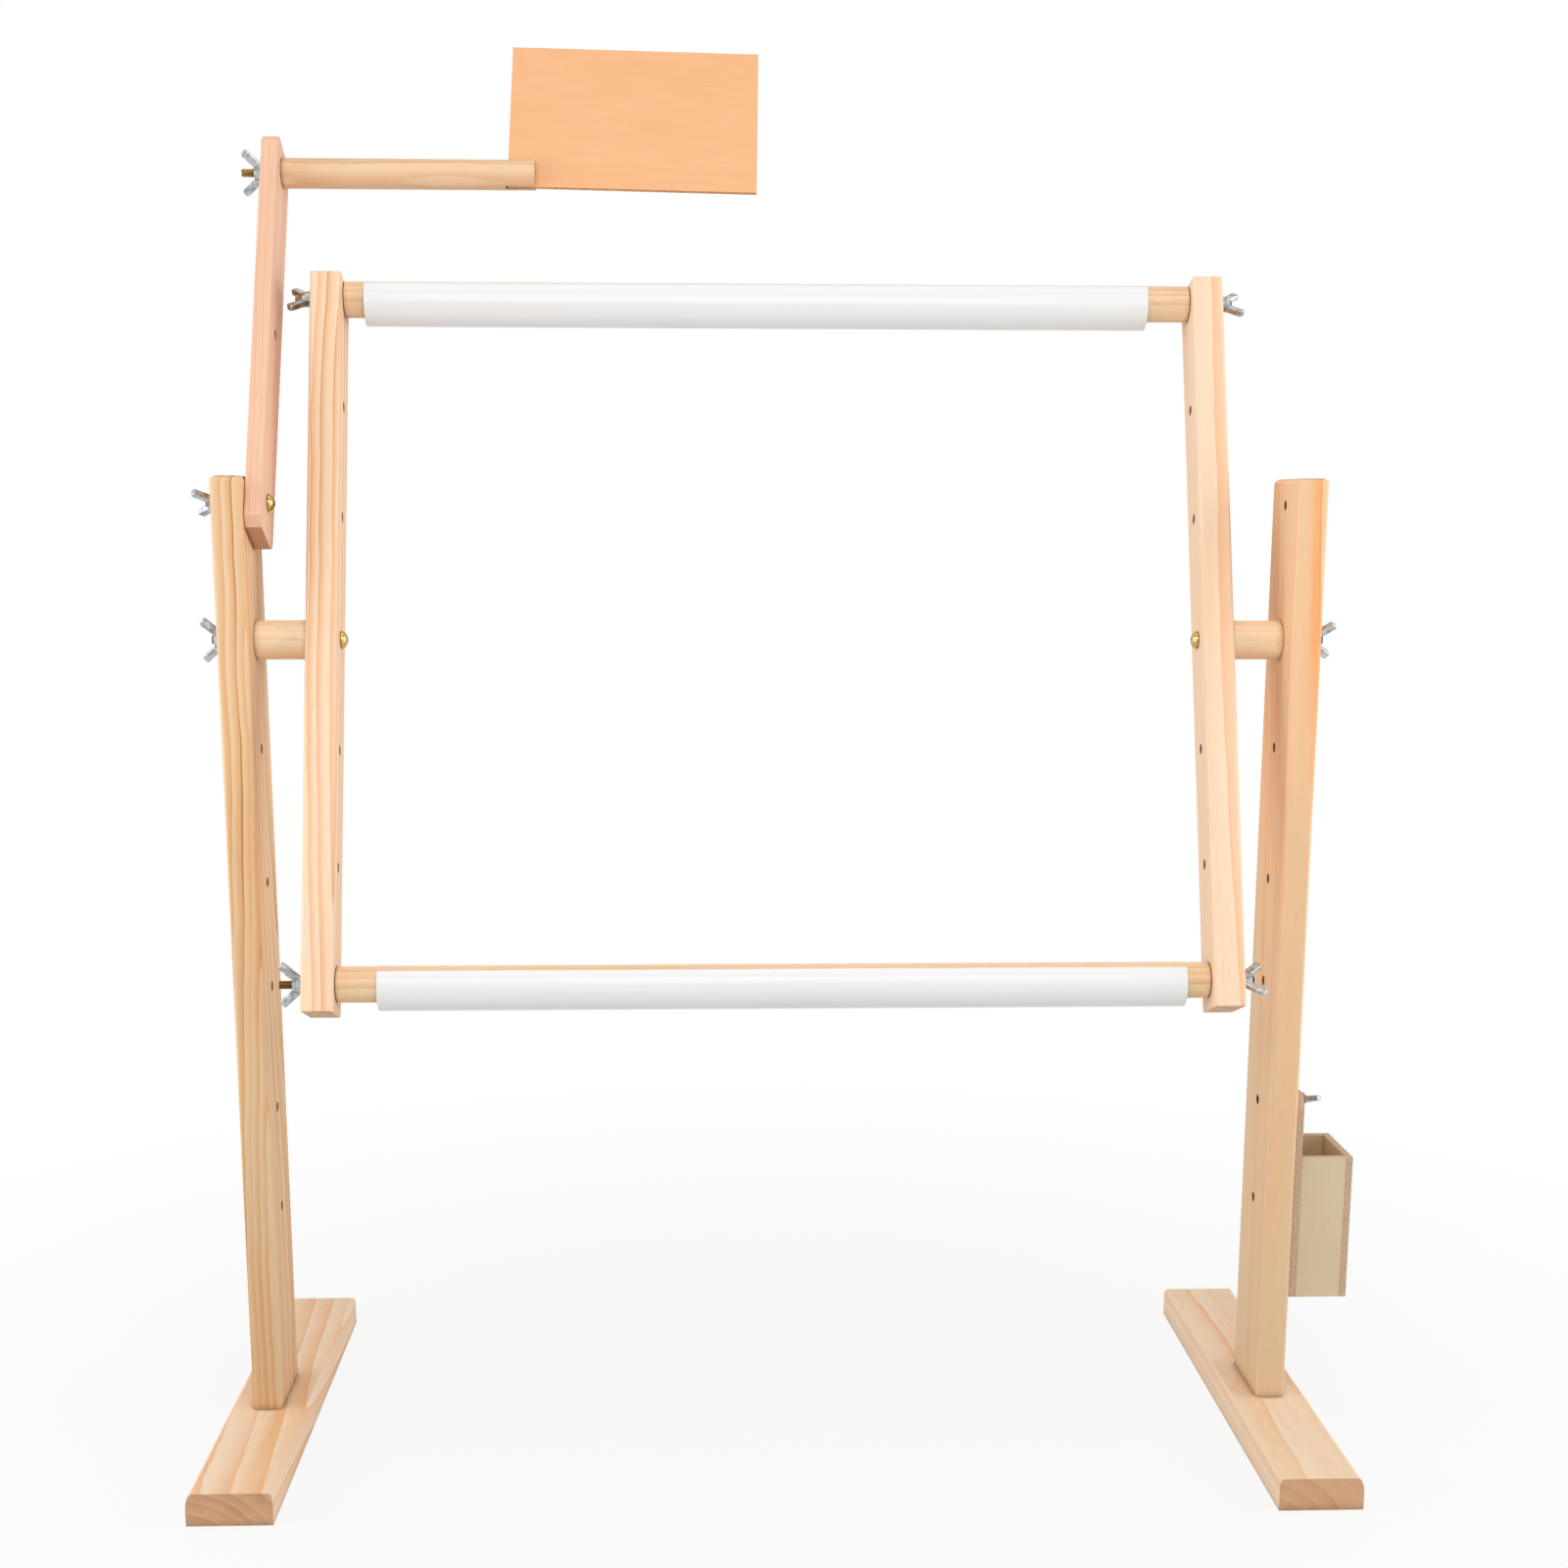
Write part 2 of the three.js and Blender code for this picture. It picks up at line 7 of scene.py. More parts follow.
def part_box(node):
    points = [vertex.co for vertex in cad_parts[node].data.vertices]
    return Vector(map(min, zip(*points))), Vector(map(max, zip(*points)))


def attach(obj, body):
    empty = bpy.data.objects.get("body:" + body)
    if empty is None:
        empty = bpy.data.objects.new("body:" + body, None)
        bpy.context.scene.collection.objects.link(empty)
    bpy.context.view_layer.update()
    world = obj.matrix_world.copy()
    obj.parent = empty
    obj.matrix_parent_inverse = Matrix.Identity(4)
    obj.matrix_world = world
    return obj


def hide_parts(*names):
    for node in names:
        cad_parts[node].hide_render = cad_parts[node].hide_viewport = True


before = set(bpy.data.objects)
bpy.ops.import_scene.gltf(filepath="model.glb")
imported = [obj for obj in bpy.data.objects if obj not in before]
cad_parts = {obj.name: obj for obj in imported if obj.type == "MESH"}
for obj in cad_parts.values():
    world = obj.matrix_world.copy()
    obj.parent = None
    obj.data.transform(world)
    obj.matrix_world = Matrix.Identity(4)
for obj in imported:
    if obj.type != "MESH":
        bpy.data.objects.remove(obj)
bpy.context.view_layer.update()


# Feet. Each is a planed pine plank laid flat, with its long upper edges rounded by hand, the outer one
# more than the inner one, and its rear end eased. Two countersunk holes from below take the screws
# that hold the post.
mm = 0.001
quarter = math.pi / 2
near = mm / 9


def take(piece):
    bpy.ops.object.select_all(action="DESELECT")
    bpy.context.view_layer.objects.active = piece
    piece.select_set(True)


def settle(piece, place):
    """Moves a piece to its place and applies the move to its mesh."""
    take(piece)
    piece.matrix_world = place
    bpy.ops.object.transform_apply()


def plank(name, low, high):
    bpy.ops.object.select_all(action="DESELECT")
    bpy.ops.mesh.primitive_cube_add(size=1, location=[(a + b) / 2 for a, b in zip(low, high)])
    piece = bpy.context.object
    piece.name = name
    piece.data.name = name
    piece.scale = [b - a for a, b in zip(low, high)]
    bpy.ops.object.transform_apply()
    return piece


def pick_edges(piece, wanted):
    """Leaves the edges selected for which wanted(middle, direction) is true, in edit mode."""
    take(piece)
    bpy.ops.object.mode_set(mode="EDIT")
    bpy.ops.mesh.select_mode(type="EDGE")
    bpy.ops.mesh.select_all(action="DESELECT")
    bpy.ops.object.mode_set(mode="OBJECT")
    for edge in piece.data.edges:
        a, b = (piece.data.vertices[i].co for i in edge.vertices)
        edge.select = wanted((a + b) / 2, (b - a).normalized())
    bpy.ops.object.mode_set(mode="EDIT")


def round_edges(piece, wanted, width, steps):
    pick_edges(piece, wanted)
    bpy.ops.mesh.bevel(offset=width, segments=steps, affect="EDGES")
    bpy.ops.object.mode_set(mode="OBJECT")


def cut(piece, tool, operation="DIFFERENCE"):
    take(piece)
    change = piece.modifiers.new("cut", "BOOLEAN")
    change.operation = operation
    change.solver = "EXACT"
    change.object = tool
    bpy.ops.object.modifier_apply(modifier=change.name)
    bpy.data.objects.remove(tool)


def round_bar(name, radius, low, high, along="X", sides=48):
    """A round bar whose axis runs from low to high."""
    turned = {"X": (0, quarter, 0), "Y": (quarter, 0, 0), "Z": (0, 0, 0)}[along]
    length = (Vector(high) - Vector(low)).length
    bpy.ops.object.select_all(action="DESELECT")
    bpy.ops.mesh.primitive_cylinder_add(
        vertices=sides, radius=radius, depth=length, rotation=turned,
        location=(Vector(low) + Vector(high)) / 2,
    )
    piece = bpy.context.object
    piece.name = name
    piece.data.name = name
    bpy.ops.object.transform_apply()
    return piece


def ease(piece, width, sharp=40, steps=2):
    """Breaks the sharp edges that are left and smooths the rounded ones."""
    take(piece)
    if width:
        change = piece.modifiers.new("break", "BEVEL")
        change.width = width
        change.segments = steps
        change.limit_method = "ANGLE"
        change.angle_limit = math.radians(sharp)
        bpy.ops.object.modifier_apply(modifier=change.name)
    bpy.ops.object.shade_smooth_by_angle(angle=math.radians(sharp))
    change = piece.modifiers.new("flat faces", "WEIGHTED_NORMAL")
    change.keep_sharp = True
    bpy.ops.object.modifier_apply(modifier=change.name)


def linear(shade):
    """An sRGB hex colour as linear red, green, blue and alpha."""
    parts = [int(shade[i:i + 2], 16) / 255 for i in (1, 3, 5)]
    return [p / 12.92 if p <= 0.04045 else ((p + 0.055) / 1.055) ** 2.4 for p in parts] + [1.0]


def add(tree, kind, inputs=(), out=0, stops=(), blend="LINEAR", **settings):
    """Adds one node with its settings, values and links, and gives back one of its outputs."""
    made = tree.nodes.new("ShaderNode" + kind)
    for name, value in settings.items():
        setattr(made, name, value)
    if stops:
        made.color_ramp.interpolation = blend
        made.color_ramp.elements.remove(made.color_ramp.elements[1])
    for number, (at, colour) in enumerate(stops):
        point = made.color_ramp.elements[0] if number == 0 else made.color_ramp.elements.new(at)
        point.position = at
        point.color = colour if hasattr(colour, "__len__") else (colour, colour, colour, 1)
    for name, value in dict(inputs).items():
        if isinstance(value, bpy.types.NodeSocket):
            tree.links.new(value, made.inputs[name])
        else:
            made.inputs[name].default_value = value
    return made.outputs[out]


def spread(tree, value, start, end, low=0.0, high=1.0):
    """Carries a value from start and end to low and high, and holds it there beyond them."""
    limits = {"Value": value, "From Min": start, "From Max": end, "To Min": low, "To Max": high}
    return add(tree, "MapRange", limits)


def noise(tree, space, stretch, detail, shift=(0, 0, 0), out=0, distortion=0.0):
    """Noise in a space that is stretched and shifted first."""
    space = add(tree, "VectorMath", {0: space, 1: stretch, 2: shift}, operation="MULTIPLY_ADD")
    kind = {"Vector": space, "Scale": 1.0, "Detail": detail, "Distortion": distortion}
    return add(tree, "TexNoise", kind, out=out)


def mix(tree, share, first, second, **settings):
    """Passes from the first colour to the second as share goes from 0 to 1."""
    return add(tree, "Mix", {0: share, 6: first, 7: second}, out=2, data_type="RGBA", **settings)


def blank(name):
    """A new material, its node tree and its shader."""
    look = bpy.data.materials.new(name)
    look.use_nodes = True
    return look, look.node_tree, look.node_tree.nodes["Principled BSDF"]


def within(tree, place):
    """The shaded point in millimetres from the middle of a piece, along the piece's own directions."""
    return add(tree, "Mapping", {
        "Vector": add(tree, "TexCoord", out=3), "Location": place.to_translation(),
        "Rotation": place.to_euler("XYZ"), "Scale": (mm, mm, mm),
    }, vector_type="TEXTURE")


def squareness(tree, way, start, end):
    """How squarely a surface faces one way: 0 up to the cosine start, 1 from the cosine end."""
    normal = add(tree, "TexCoord", out=1)
    cosine = add(tree, "VectorMath", {0: normal, 1: way}, out=1, operation="DOT_PRODUCT")
    cosine = add(tree, "Math", {0: cosine}, operation="ABSOLUTE")
    return spread(tree, cosine, start, end)


def timber(name, place, log, shades, ends=("#d9b08a", "#b07f58"), contrast=1.0, seed=0.0):
    """Planed softwood: growth rings round a pith line, so that sides show stripes and ends show arcs.

    place carries the log to the piece, its Z along the grain. log gives, in millimetres across the grain, the
    pith, the level of the face that shows, the places on that face where a year ends, each with the strength
    of its dark summer wood, and how far the trunk bends sideways at even steps along the length. It may also
    give a tint that darkens the low end of the piece: painted shade for the light from above, which falls off
    there.
    """
    look, tree, shader = blank(name)
    early, warm, line = (linear(shade) for shade in shades)
    pith_x, pith_y = log["pith"]
    years = sorted((math.hypot(x - pith_x, log["face"] - pith_y), dark) for x, dark in log["years"])
    years.insert(0, (2 * years[0][0] - years[1][0], 0))
    first = years[0][0]
    span = years[-1][0] - first
    trunk = within(tree, place)

    # the trunk bends over the whole length and wavers by about a millimetre over a finger's length
    height = add(tree, "SeparateXYZ", {0: trunk}, out=2)
    height = spread(tree, height, -log["length"] / 2, log["length"] / 2)
    bends = log["bends"]
    reach = max(abs(bend) for bend in bends) or 1
    sweep = add(tree, "ValToRGB", {"Fac": height}, blend="CARDINAL", stops=[
        (number / (len(bends) - 1), 0.5 + 0.5 * bend / reach) for number, bend in enumerate(bends)
    ])
    sweep = spread(tree, sweep, 0, 1, -reach, reach)
    sweep = add(tree, "CombineXYZ", {0: sweep})
    waver = noise(tree, trunk, (0.02, 0.02, 0.022), 1.0, shift=(seed, seed * 1.7, seed * 0.6), out=1)
    waver = add(tree, "VectorMath", {0: waver, 1: (2.2, 2.2, 0), 2: (-pith_x - 1.1, -pith_y - 1.1, 0)},
                operation="MULTIPLY_ADD")
    across = add(tree, "VectorMath", {0: trunk, 1: (1, 1, 0), 2: waver}, operation="MULTIPLY_ADD")
    across = add(tree, "VectorMath", {0: across, 1: sweep}, operation="SUBTRACT")
    distance = add(tree, "VectorMath", {0: across}, out=1, operation="LENGTH")
    age = add(tree, "Math", {0: distance, 1: first}, operation="SUBTRACT")
    age = add(tree, "Math", {0: age, 1: span}, operation="DIVIDE")
    age = add(tree, "Math", {0: age}, operation="FRACT")
    growth = []
    for (low, _), (high, dark) in zip(years, years[1:]):
        spring = max(low + 0.3, high - log["band"])
        growth += [((low - first + 0.1) / span, 0.03), ((spring - first) / span, 0.04 + 0.08 * dark),
                   ((high - first - min(1.8, (high - low) / 4)) / span, 0.66 * dark),
                   ((high - first - 0.4) / span, dark)]
    summer = add(tree, "ValToRGB", {"Fac": age}, stops=growth)

    # cream and peach heartwood run in broad tracts, and each stripe comes and goes a little
    tract = noise(tree, trunk, (0.06, 0.06, 0.004), 1.0, shift=(seed + 5, 3, seed))
    fade = spread(tree, tract, 0.3, 0.7, 0.75 * contrast, 1.1 * contrast)
    summer = add(tree, "Math", {0: summer, 1: fade}, operation="MULTIPLY")
    patch = spread(tree, tract, 0.45, 0.72, high=0.14)
    summer = add(tree, "Math", {0: summer, 1: patch}, operation="ADD")
    side = add(tree, "ValToRGB", {"Fac": summer}, stops=[
        (0.0, early), (0.55, warm), (0.72, warm), (1.0, line),
    ])

    # fibres 0.4 mm wide and 20 mm long, and a few brown resin ducts
    fibre = noise(tree, trunk, (2.4, 2.4, 0.05), 3.0)
    sheen = spread(tree, fibre, 0.3, 0.7, 0.955, 1.035)
    side = add(tree, "VectorMath", {0: side, "Scale": sheen}, operation="SCALE")
    # painted shade: the low end is darkened, standing in for the light from above that falls off towards the
    # floor
    painted_low_shade = spread(tree, height, 0.05, 0.7, 1.0, 0.0)
    side = mix(tree, painted_low_shade, side, (*log.get("painted_low_shade", (1, 1, 1)), 1), blend_type="MULTIPLY")
    duct = noise(tree, trunk, (1.6, 1.6, 0.05), 0.0, shift=(9, seed, 2))
    duct = spread(tree, duct, 0.76, 0.82, high=0.3)
    side = mix(tree, duct, side, linear("#b5794c"))

    # sawn ends drink the light: browner, with open pores
    facing = squareness(tree, place.to_3x3() @ Vector((0, 0, 1)), 0.75, 0.97)
    pores = noise(tree, trunk, (1.5, 1.5, 0.2), 2.0)
    pores = spread(tree, pores, 0.3, 0.7, 0.86, 1.14)
    end = mix(tree, summer, linear(ends[0]), linear(ends[1]))
    end = add(tree, "VectorMath", {0: end, "Scale": pores}, operation="SCALE")
    colour = mix(tree, facing, side, end)

    # painted shade: joints and bores turn dark brown where ambient occlusion finds them closed in
    painted_shade = add(tree, "AmbientOcclusion", {"Distance": 14 * mm}, out=1, samples=8)
    painted_shade = spread(tree, painted_shade, 0.42, 0.59, 0.95, 0.0)
    colour = mix(tree, painted_shade, colour, linear("#3a1f0e"))
    rough = spread(tree, fibre, 0, 1, 0.5, 0.66)
    relief = add(tree, "Math", {0: summer, 1: 0.5, 2: fibre}, operation="MULTIPLY_ADD")
    bump = add(tree, "Bump", {"Height": relief, "Strength": 0.3, "Distance": 0.05 * mm})
    tree.links.new(colour, shader.inputs["Base Color"])
    tree.links.new(rough, shader.inputs["Roughness"])
    tree.links.new(bump, shader.inputs["Normal"])
    shader.inputs["IOR"].default_value = 1.45
    return look


def dress(piece, look, body, slot, *nodes):
    """Gives a finished piece its finish and its place in the moving stand."""
    piece.data.materials.clear()
    piece.data.materials.append(look)
    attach(piece, body)
    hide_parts(*nodes)


grain_along_y = Matrix.Rotation(-quarter, 4, "X")
foot_round = {"across": 4.5 * mm, "inner": 2.5 * mm, "down": 11 / 4.5, "rear": 5 * mm}
foot_log = {
    "left": {"pith": (-34, 52), "face": -11, "length": 378, "band": 10,
             "bends": (0, -3.2, -8.5, -16, -18.8, -21.6),
             "years": ((-18, 0.62), (0.8, 0.5), (20.5, 0.68), (34, 0.62), (45, 0.5))},
    "right": {"pith": (-44, 46), "face": -11, "length": 378, "band": 12, "bends": (0, 1, 3, 4, 3, 0),
              "years": ((-9, 0.55), (8, 0.15), (22, 0.25), (34, 0.5), (46, 0.4))},
}
foot_wood = ("#f3dcc0", "#ebb685", "#dd9f6b")
foot_ends = ("#dbad85", "#b17c53")
screw_reach = 18 * mm
screw_hole = {"shank": 2.3 * mm, "head": 4.3 * mm, "cone": 3 * mm, "cone_middle": 2.4 * mm, "deep": 30 * mm}
for name, side in (("left", -1), ("right", 1)):
    low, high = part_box(f"foot_{name}")
    squat = Vector((high.x, high.y, low.z + (high.z - low.z) / foot_round["down"]))
    piece = plank(f"{name}_foot", low, squat)
    outer = high.x if side > 0 else low.x
    for edge_x, width in ((outer, foot_round["across"]), (low.x + high.x - outer, foot_round["inner"])):
        round_edges(piece, lambda at, way: (
            abs(at.x - edge_x) < near and at.z > squat.z - near and abs(way.y) > 0.9
        ), width, 8)
    take(piece)
    bpy.ops.object.mode_set(mode="EDIT")
    bpy.ops.mesh.select_all(action="SELECT")
    bpy.ops.transform.resize(value=(1, 1, foot_round["down"]), center_override=(0, 0, low.z))
    bpy.ops.object.mode_set(mode="OBJECT")
    end = plank("foot end", low - Vector((mm, 0, mm)), high + Vector((mm, 0, 0)))
    round_edges(end, lambda at, way: at.z > high.z - near and at.y > high.y - near, foot_round["rear"], 6)
    cut(piece, end, "INTERSECT")
    middle = (low + high) / 2
    post_low, post_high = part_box(f"post_{name}")
    for reach in (-screw_reach, screw_reach):
        at = Vector(((post_low.x + post_high.x) / 2, (post_low.y + post_high.y) / 2 + reach, low.z))
        below = at - Vector((0, 0, mm))
        top = at + Vector((0, 0, screw_hole["deep"]))
        cut(piece, round_bar("screw hole", screw_hole["shank"], below, top, "Z"))
        bpy.ops.object.select_all(action="DESELECT")
        bpy.ops.mesh.primitive_cone_add(
            vertices=48, radius1=screw_hole["head"], radius2=screw_hole["shank"], depth=screw_hole["cone"],
            location=at + Vector((0, 0, screw_hole["cone_middle"])),
        )
        cut(piece, bpy.context.object)
        cut(piece, round_bar("sink", screw_hole["head"], below, at + Vector((0, 0, mm)), "Z"))
    ease(piece, 0.6 * mm)
    look = timber(f"planed pine, {name} foot", Matrix.Translation(middle) @ grain_along_y, foot_log[name],
                  foot_wood, foot_ends, seed=2.0 + side)
    dress(piece, look, "stand", "pine", f"foot_{name}")


# Posts. Pine planks 20 mm thick set on edge, planed, with every edge rounded over on a router table and
# a row of seven 7 mm bolt holes bored across for the heights at which the frame and the box can hang.
post_round = 2.5 * mm
post_top_round = 4.5 * mm
post_holes = (138.5, 210.5, 296.5, 369, 460, 533, 622.5)
hole_radius = 3.5 * mm
post_hole_length = 21 * mm
# Each post's low-end tint is painted shade: it darkens the post towards its foot, where the light from above
# falls off.
post_log = {
    "left": {"pith": (-95, 42), "face": -35, "length": 640, "band": 4.5, "painted_low_shade": (0.8, 0.77, 0.73),
             "bends": (-8.2, -9.2, -6, -1.3, 2.8, 3.6, 5), "wood": ("#f3d6b0", "#ebb67f", "#bd8550"),
             "years": ((-14, 0.6), (-7.2, 0.8), (0, 0.97), (5, 0.5), (10, 0.85), (15, 0.7), (24, 0.8))},
    "right": {"pith": (-100, 45), "face": -35, "length": 640, "band": 7, "painted_low_shade": (0.82, 0.89, 0.94),
              "bends": (14, 13, 12, 9, 4, -2, -6.5),
              "wood": ("#f3cfa4", "#fbb172", "#e39c62"),
              "years": ((-46, 0.5), (-38, 0.4), (-29, 0.4), (11.5, 1.0), (30, 0.5))},
}
for name, log in post_log.items():
    low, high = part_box(f"post_{name}")
    piece = plank(f"{name}_post", low, high)
    round_edges(piece, lambda at, way: abs(way.z) > 0.9, post_round, 6)
    top = plank("post top", low - Vector((0, 0, mm)), high)
    round_edges(top, lambda at, way: at.z > high.z - near, post_top_round, 6)
    cut(piece, top, "INTERSECT")
    middle = (low + high) / 2
    for rise in post_holes:
        at = Vector((low.x, middle.y, low.z + rise * mm))
        far = at + Vector((post_hole_length, 0, 0))
        cut(piece, round_bar("bolt hole", hole_radius, at - Vector((mm, 0, 0)), far))
    ease(piece, 0.4 * mm)
    look = timber(f"planed pine, {name} post", Matrix.Translation(middle), log, log["wood"], seed=len(name))
    dress(piece, look, "stand", "pine", f"post_{name}")


# Wood screws. Two countersunk steel screws with yellow zinc plating go up through each foot into the
# end grain of its post. Only their heads can be seen, from below.
screw = {"shank": 2 * mm, "head": 4 * mm, "cone": 3 * mm, "length": 55 * mm}


def cross_recess(span, slot, deep, at, up):
    """A tapered cross cutter for a driver, sunk into a head at a place, along one axis."""
    tools = []
    for turned in (0, quarter):
        bpy.ops.object.select_all(action="DESELECT")
        bpy.ops.mesh.primitive_cube_add(size=1)
        tool = bpy.context.object
        tool.scale = (span, slot, 2 * deep)
        bpy.ops.object.transform_apply()
        bpy.ops.object.mode_set(mode="EDIT")
        bpy.ops.mesh.select_all(action="DESELECT")
        bpy.ops.object.mode_set(mode="OBJECT")
        for vertex in tool.data.vertices:
            vertex.select = vertex.co.z < 0
        bpy.ops.object.mode_set(mode="EDIT")
        bpy.ops.transform.resize(value=(0.45, 0.8, 1), center_override=(0, 0, 0))
        bpy.ops.object.mode_set(mode="OBJECT")
        tool.matrix_world = Matrix.Translation(at) @ up @ Matrix.Rotation(turned, 4, "Z")
        bpy.ops.object.transform_apply()
        tools.append(tool)
    return tools


def zinc_plate(name, shades, rough, patch):
    """Electroplated zinc on steel: a thin clouded film, a little uneven in tone and gloss."""
    look, tree, shader = blank(name)
    here = add(tree, "TexCoord", out=3)
    cloud = add(tree, "TexNoise", {"Vector": here, "Scale": 1 / (patch * mm), "Detail": 2.0})
    tone = add(tree, "ValToRGB", {"Fac": cloud}, stops=[
        (0.3, linear(shades[0])), (0.5, linear(shades[1])), (0.7, linear(shades[2])),
    ])
    # painted shade: the plate's colour darkens in hollows and beside other parts, where ambient occlusion
    # finds them closed in
    painted_shade = add(tree, "AmbientOcclusion", {"Distance": 2.5 * mm}, out=1, samples=8)
    painted_shade = spread(tree, painted_shade, 0.25, 0.95, 0.14, 1.0)
    tone = add(tree, "VectorMath", {0: tone, "Scale": painted_shade}, operation="SCALE")
    gloss = spread(tree, cloud, 0, 1, rough - 0.08, rough + 0.12)
    pits = add(tree, "TexNoise", {"Vector": here, "Scale": 1 / (0.5 * mm), "Detail": 1.0})
    bump = add(tree, "Bump", {"Height": pits, "Strength": 0.25, "Distance": 0.03 * mm})
    tree.links.new(tone, shader.inputs["Base Color"])
    tree.links.new(gloss, shader.inputs["Roughness"])
    tree.links.new(bump, shader.inputs["Normal"])
    shader.inputs["Metallic"].default_value = 1.0
    return look


downwards = Matrix.Rotation(math.pi, 4, "X")
yellow_zinc = zinc_plate("yellow zinc plate", ("#a8805a", "#cfac68", "#bcb584"), 0.14, 3.5)
for name in ("left_front", "left_rear", "right_front", "right_rear"):
    low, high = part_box(f"foot_screw_{name}")
    middle = (low + high) / 2
    at = Vector((middle.x, middle.y, low.z))
    piece = round_bar(f"{name}_wood_screw", screw["shank"], at + Vector((0, 0, 0.5 * screw["cone"])),
                      at + Vector((0, 0, screw["length"])), "Z")
    pick_edges(piece, lambda at, way: at.z > high.z - mm and abs(way.z) < 0.5)
    bpy.ops.transform.resize(value=(0.1, 0.1, 1), center_override=(middle.x, middle.y, high.z))
    bpy.ops.object.mode_set(mode="OBJECT")
    bpy.ops.object.select_all(action="DESELECT")
    bpy.ops.mesh.primitive_cone_add(
        vertices=48, radius1=screw["head"], radius2=screw["shank"], depth=screw["cone"],
        location=at + Vector((0, 0, screw["cone"] / 2)),
    )
    cut(piece, bpy.context.object, "UNION")
    for tool in cross_recess(4.4 * mm, 1.1 * mm, 1.6 * mm, at, downwards):
        cut(piece, tool)
    ease(piece, 0)
    dress(piece, yellow_zinc, "stand", "yellow_zinc", f"foot_screw_{name}")


# Spacers. Two short ends of 26 mm pine dowel on the pivot bolts keep the tilting frame 35 mm clear of
# the posts. Each is turned, cross-cut and bored through.
grain_along_x = Matrix.Rotation(quarter, 4, "Y")
# painted light: the spacers' pine is paler than the rods' to lift the shade that the post and bar cast on
# them
spacer_wood_painted_light = ("#ffe8c6", "#f9cd9c", "#e4ac76")
spacer_log = {"pith": (-70, 66), "face": -13, "length": 35, "band": 5, "bends": (0, 0.5),
              "years": ((-8, 0.25), (0, 0.3), (9, 0.3), (16, 0.4))}
for name, seed in (("left", 1.2), ("right", 6.4)):
    low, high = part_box(f"spacer_{name}")
    middle = (low + high) / 2
    axis_low = Vector((low.x, middle.y, middle.z))
    axis_high = Vector((high.x, middle.y, middle.z))
    piece = round_bar(f"{name}_spacer", (high.z - low.z) / 2, axis_low, axis_high, sides=96)
    cut(piece, round_bar("bore", hole_radius, axis_low - Vector((mm, 0, 0)), axis_high + Vector((mm, 0, 0))))
    ease(piece, 0.5 * mm)
    look = timber(f"turned pine, {name} spacer", Matrix.Translation(middle) @ grain_along_x, spacer_log,
                  spacer_wood_painted_light, seed=seed)
    dress(piece, look, "stand", "pine", f"spacer_{name}")


# Bolts. M6 machine screws, rolled thread and a pan head with a cross recess, plated in yellow zinc. Two
# are the frame's pivots, one holds the chart arm and one the tool box. The union in pan_bolt is not
# reliable: in some runs it drops a shank or a head.
thread = {"crest": 2.92 * mm, "root": 2.5 * mm, "pitch": 1 * mm, "sides": 28}
pan_head = {"radius": 6 * mm, "height": 4.5 * mm, "rim": 0.6 * mm}


def threaded(name, start, end):
    """A rod with a real M6 helix along X, cut square at its start and chamfered at its end."""
    turns = math.ceil((end - start) / thread["pitch"]) + 1
    bpy.ops.object.select_all(action="DESELECT")
    bpy.ops.mesh.primitive_circle_add(vertices=5, radius=mm)
    piece = bpy.context.object
    piece.name = name
    piece.data.name = name
    bpy.ops.object.mode_set(mode="EDIT")
    bpy.ops.mesh.select_all(action="SELECT")
    bpy.ops.mesh.delete(type="EDGE_FACE")
    bpy.ops.object.mode_set(mode="OBJECT")
    tooth = ((0, "root"), (0.1, "root"), (0.44, "crest"), (0.56, "crest"), (0.9, "root"))
    for vertex, (rise, level) in zip(piece.data.vertices, tooth):
        vertex.co = (thread[level], 0, rise * thread["pitch"])
    bpy.ops.object.mode_set(mode="EDIT")
    bpy.ops.mesh.select_mode(type="VERT")
    for first in range(4):
        bpy.ops.mesh.select_all(action="DESELECT")
        bpy.ops.object.mode_set(mode="OBJECT")
        for vertex in piece.data.vertices:
            vertex.select = vertex.index in (first, first + 1)
        bpy.ops.object.mode_set(mode="EDIT")
        bpy.ops.mesh.edge_face_add()
    bpy.ops.mesh.select_all(action="DESELECT")
    bpy.ops.object.mode_set(mode="OBJECT")
    piece.data.vertices[4].select = True
    bpy.ops.object.mode_set(mode="EDIT")
    bpy.ops.mesh.extrude_region_move(TRANSFORM_OT_translate={"value": (0, 0, 0.1 * thread["pitch"])})
    bpy.ops.object.mode_set(mode="OBJECT")
    wind = piece.modifiers.new("wind", "SCREW")
    wind.steps = thread["sides"]
    wind.render_steps = thread["sides"]
    wind.screw_offset = thread["pitch"]
    wind.iterations = turns
    wind.use_merge_vertices = True
    wind.merge_threshold = mm / 1000
    bpy.ops.object.modifier_apply(modifier=wind.name)
    bpy.ops.object.mode_set(mode="EDIT")
    bpy.ops.mesh.select_all(action="SELECT")
    bpy.ops.mesh.remove_doubles(threshold=mm / 1000)
    length = end - start
    for height, clear_above in ((thread["pitch"], False), (thread["pitch"] + length, True)):
        bpy.ops.mesh.select_all(action="SELECT")
        bpy.ops.mesh.bisect(plane_co=(0, 0, height), plane_no=(0, 0, 1), use_fill=True,
                            clear_inner=not clear_above, clear_outer=clear_above)
    bpy.ops.mesh.select_all(action="SELECT")
    bpy.ops.mesh.normals_make_consistent(inside=False)
    bpy.ops.object.mode_set(mode="OBJECT")
    from_first_turn = Matrix.Translation((0, 0, -thread["pitch"]))
    piece.matrix_world = Matrix.Translation((start, 0, 0)) @ grain_along_x @ from_first_turn
    bpy.ops.object.transform_apply()
    cone = round_bar("chamfer", thread["crest"] + 0.1 * mm, (start - mm, 0, 0), (end, 0, 0))
    round_edges(cone, lambda at, way: at.x > end - near and abs(way.x) < 0.1, 0.7 * mm, 1)
    cut(piece, cone, "INTERSECT")
    return piece


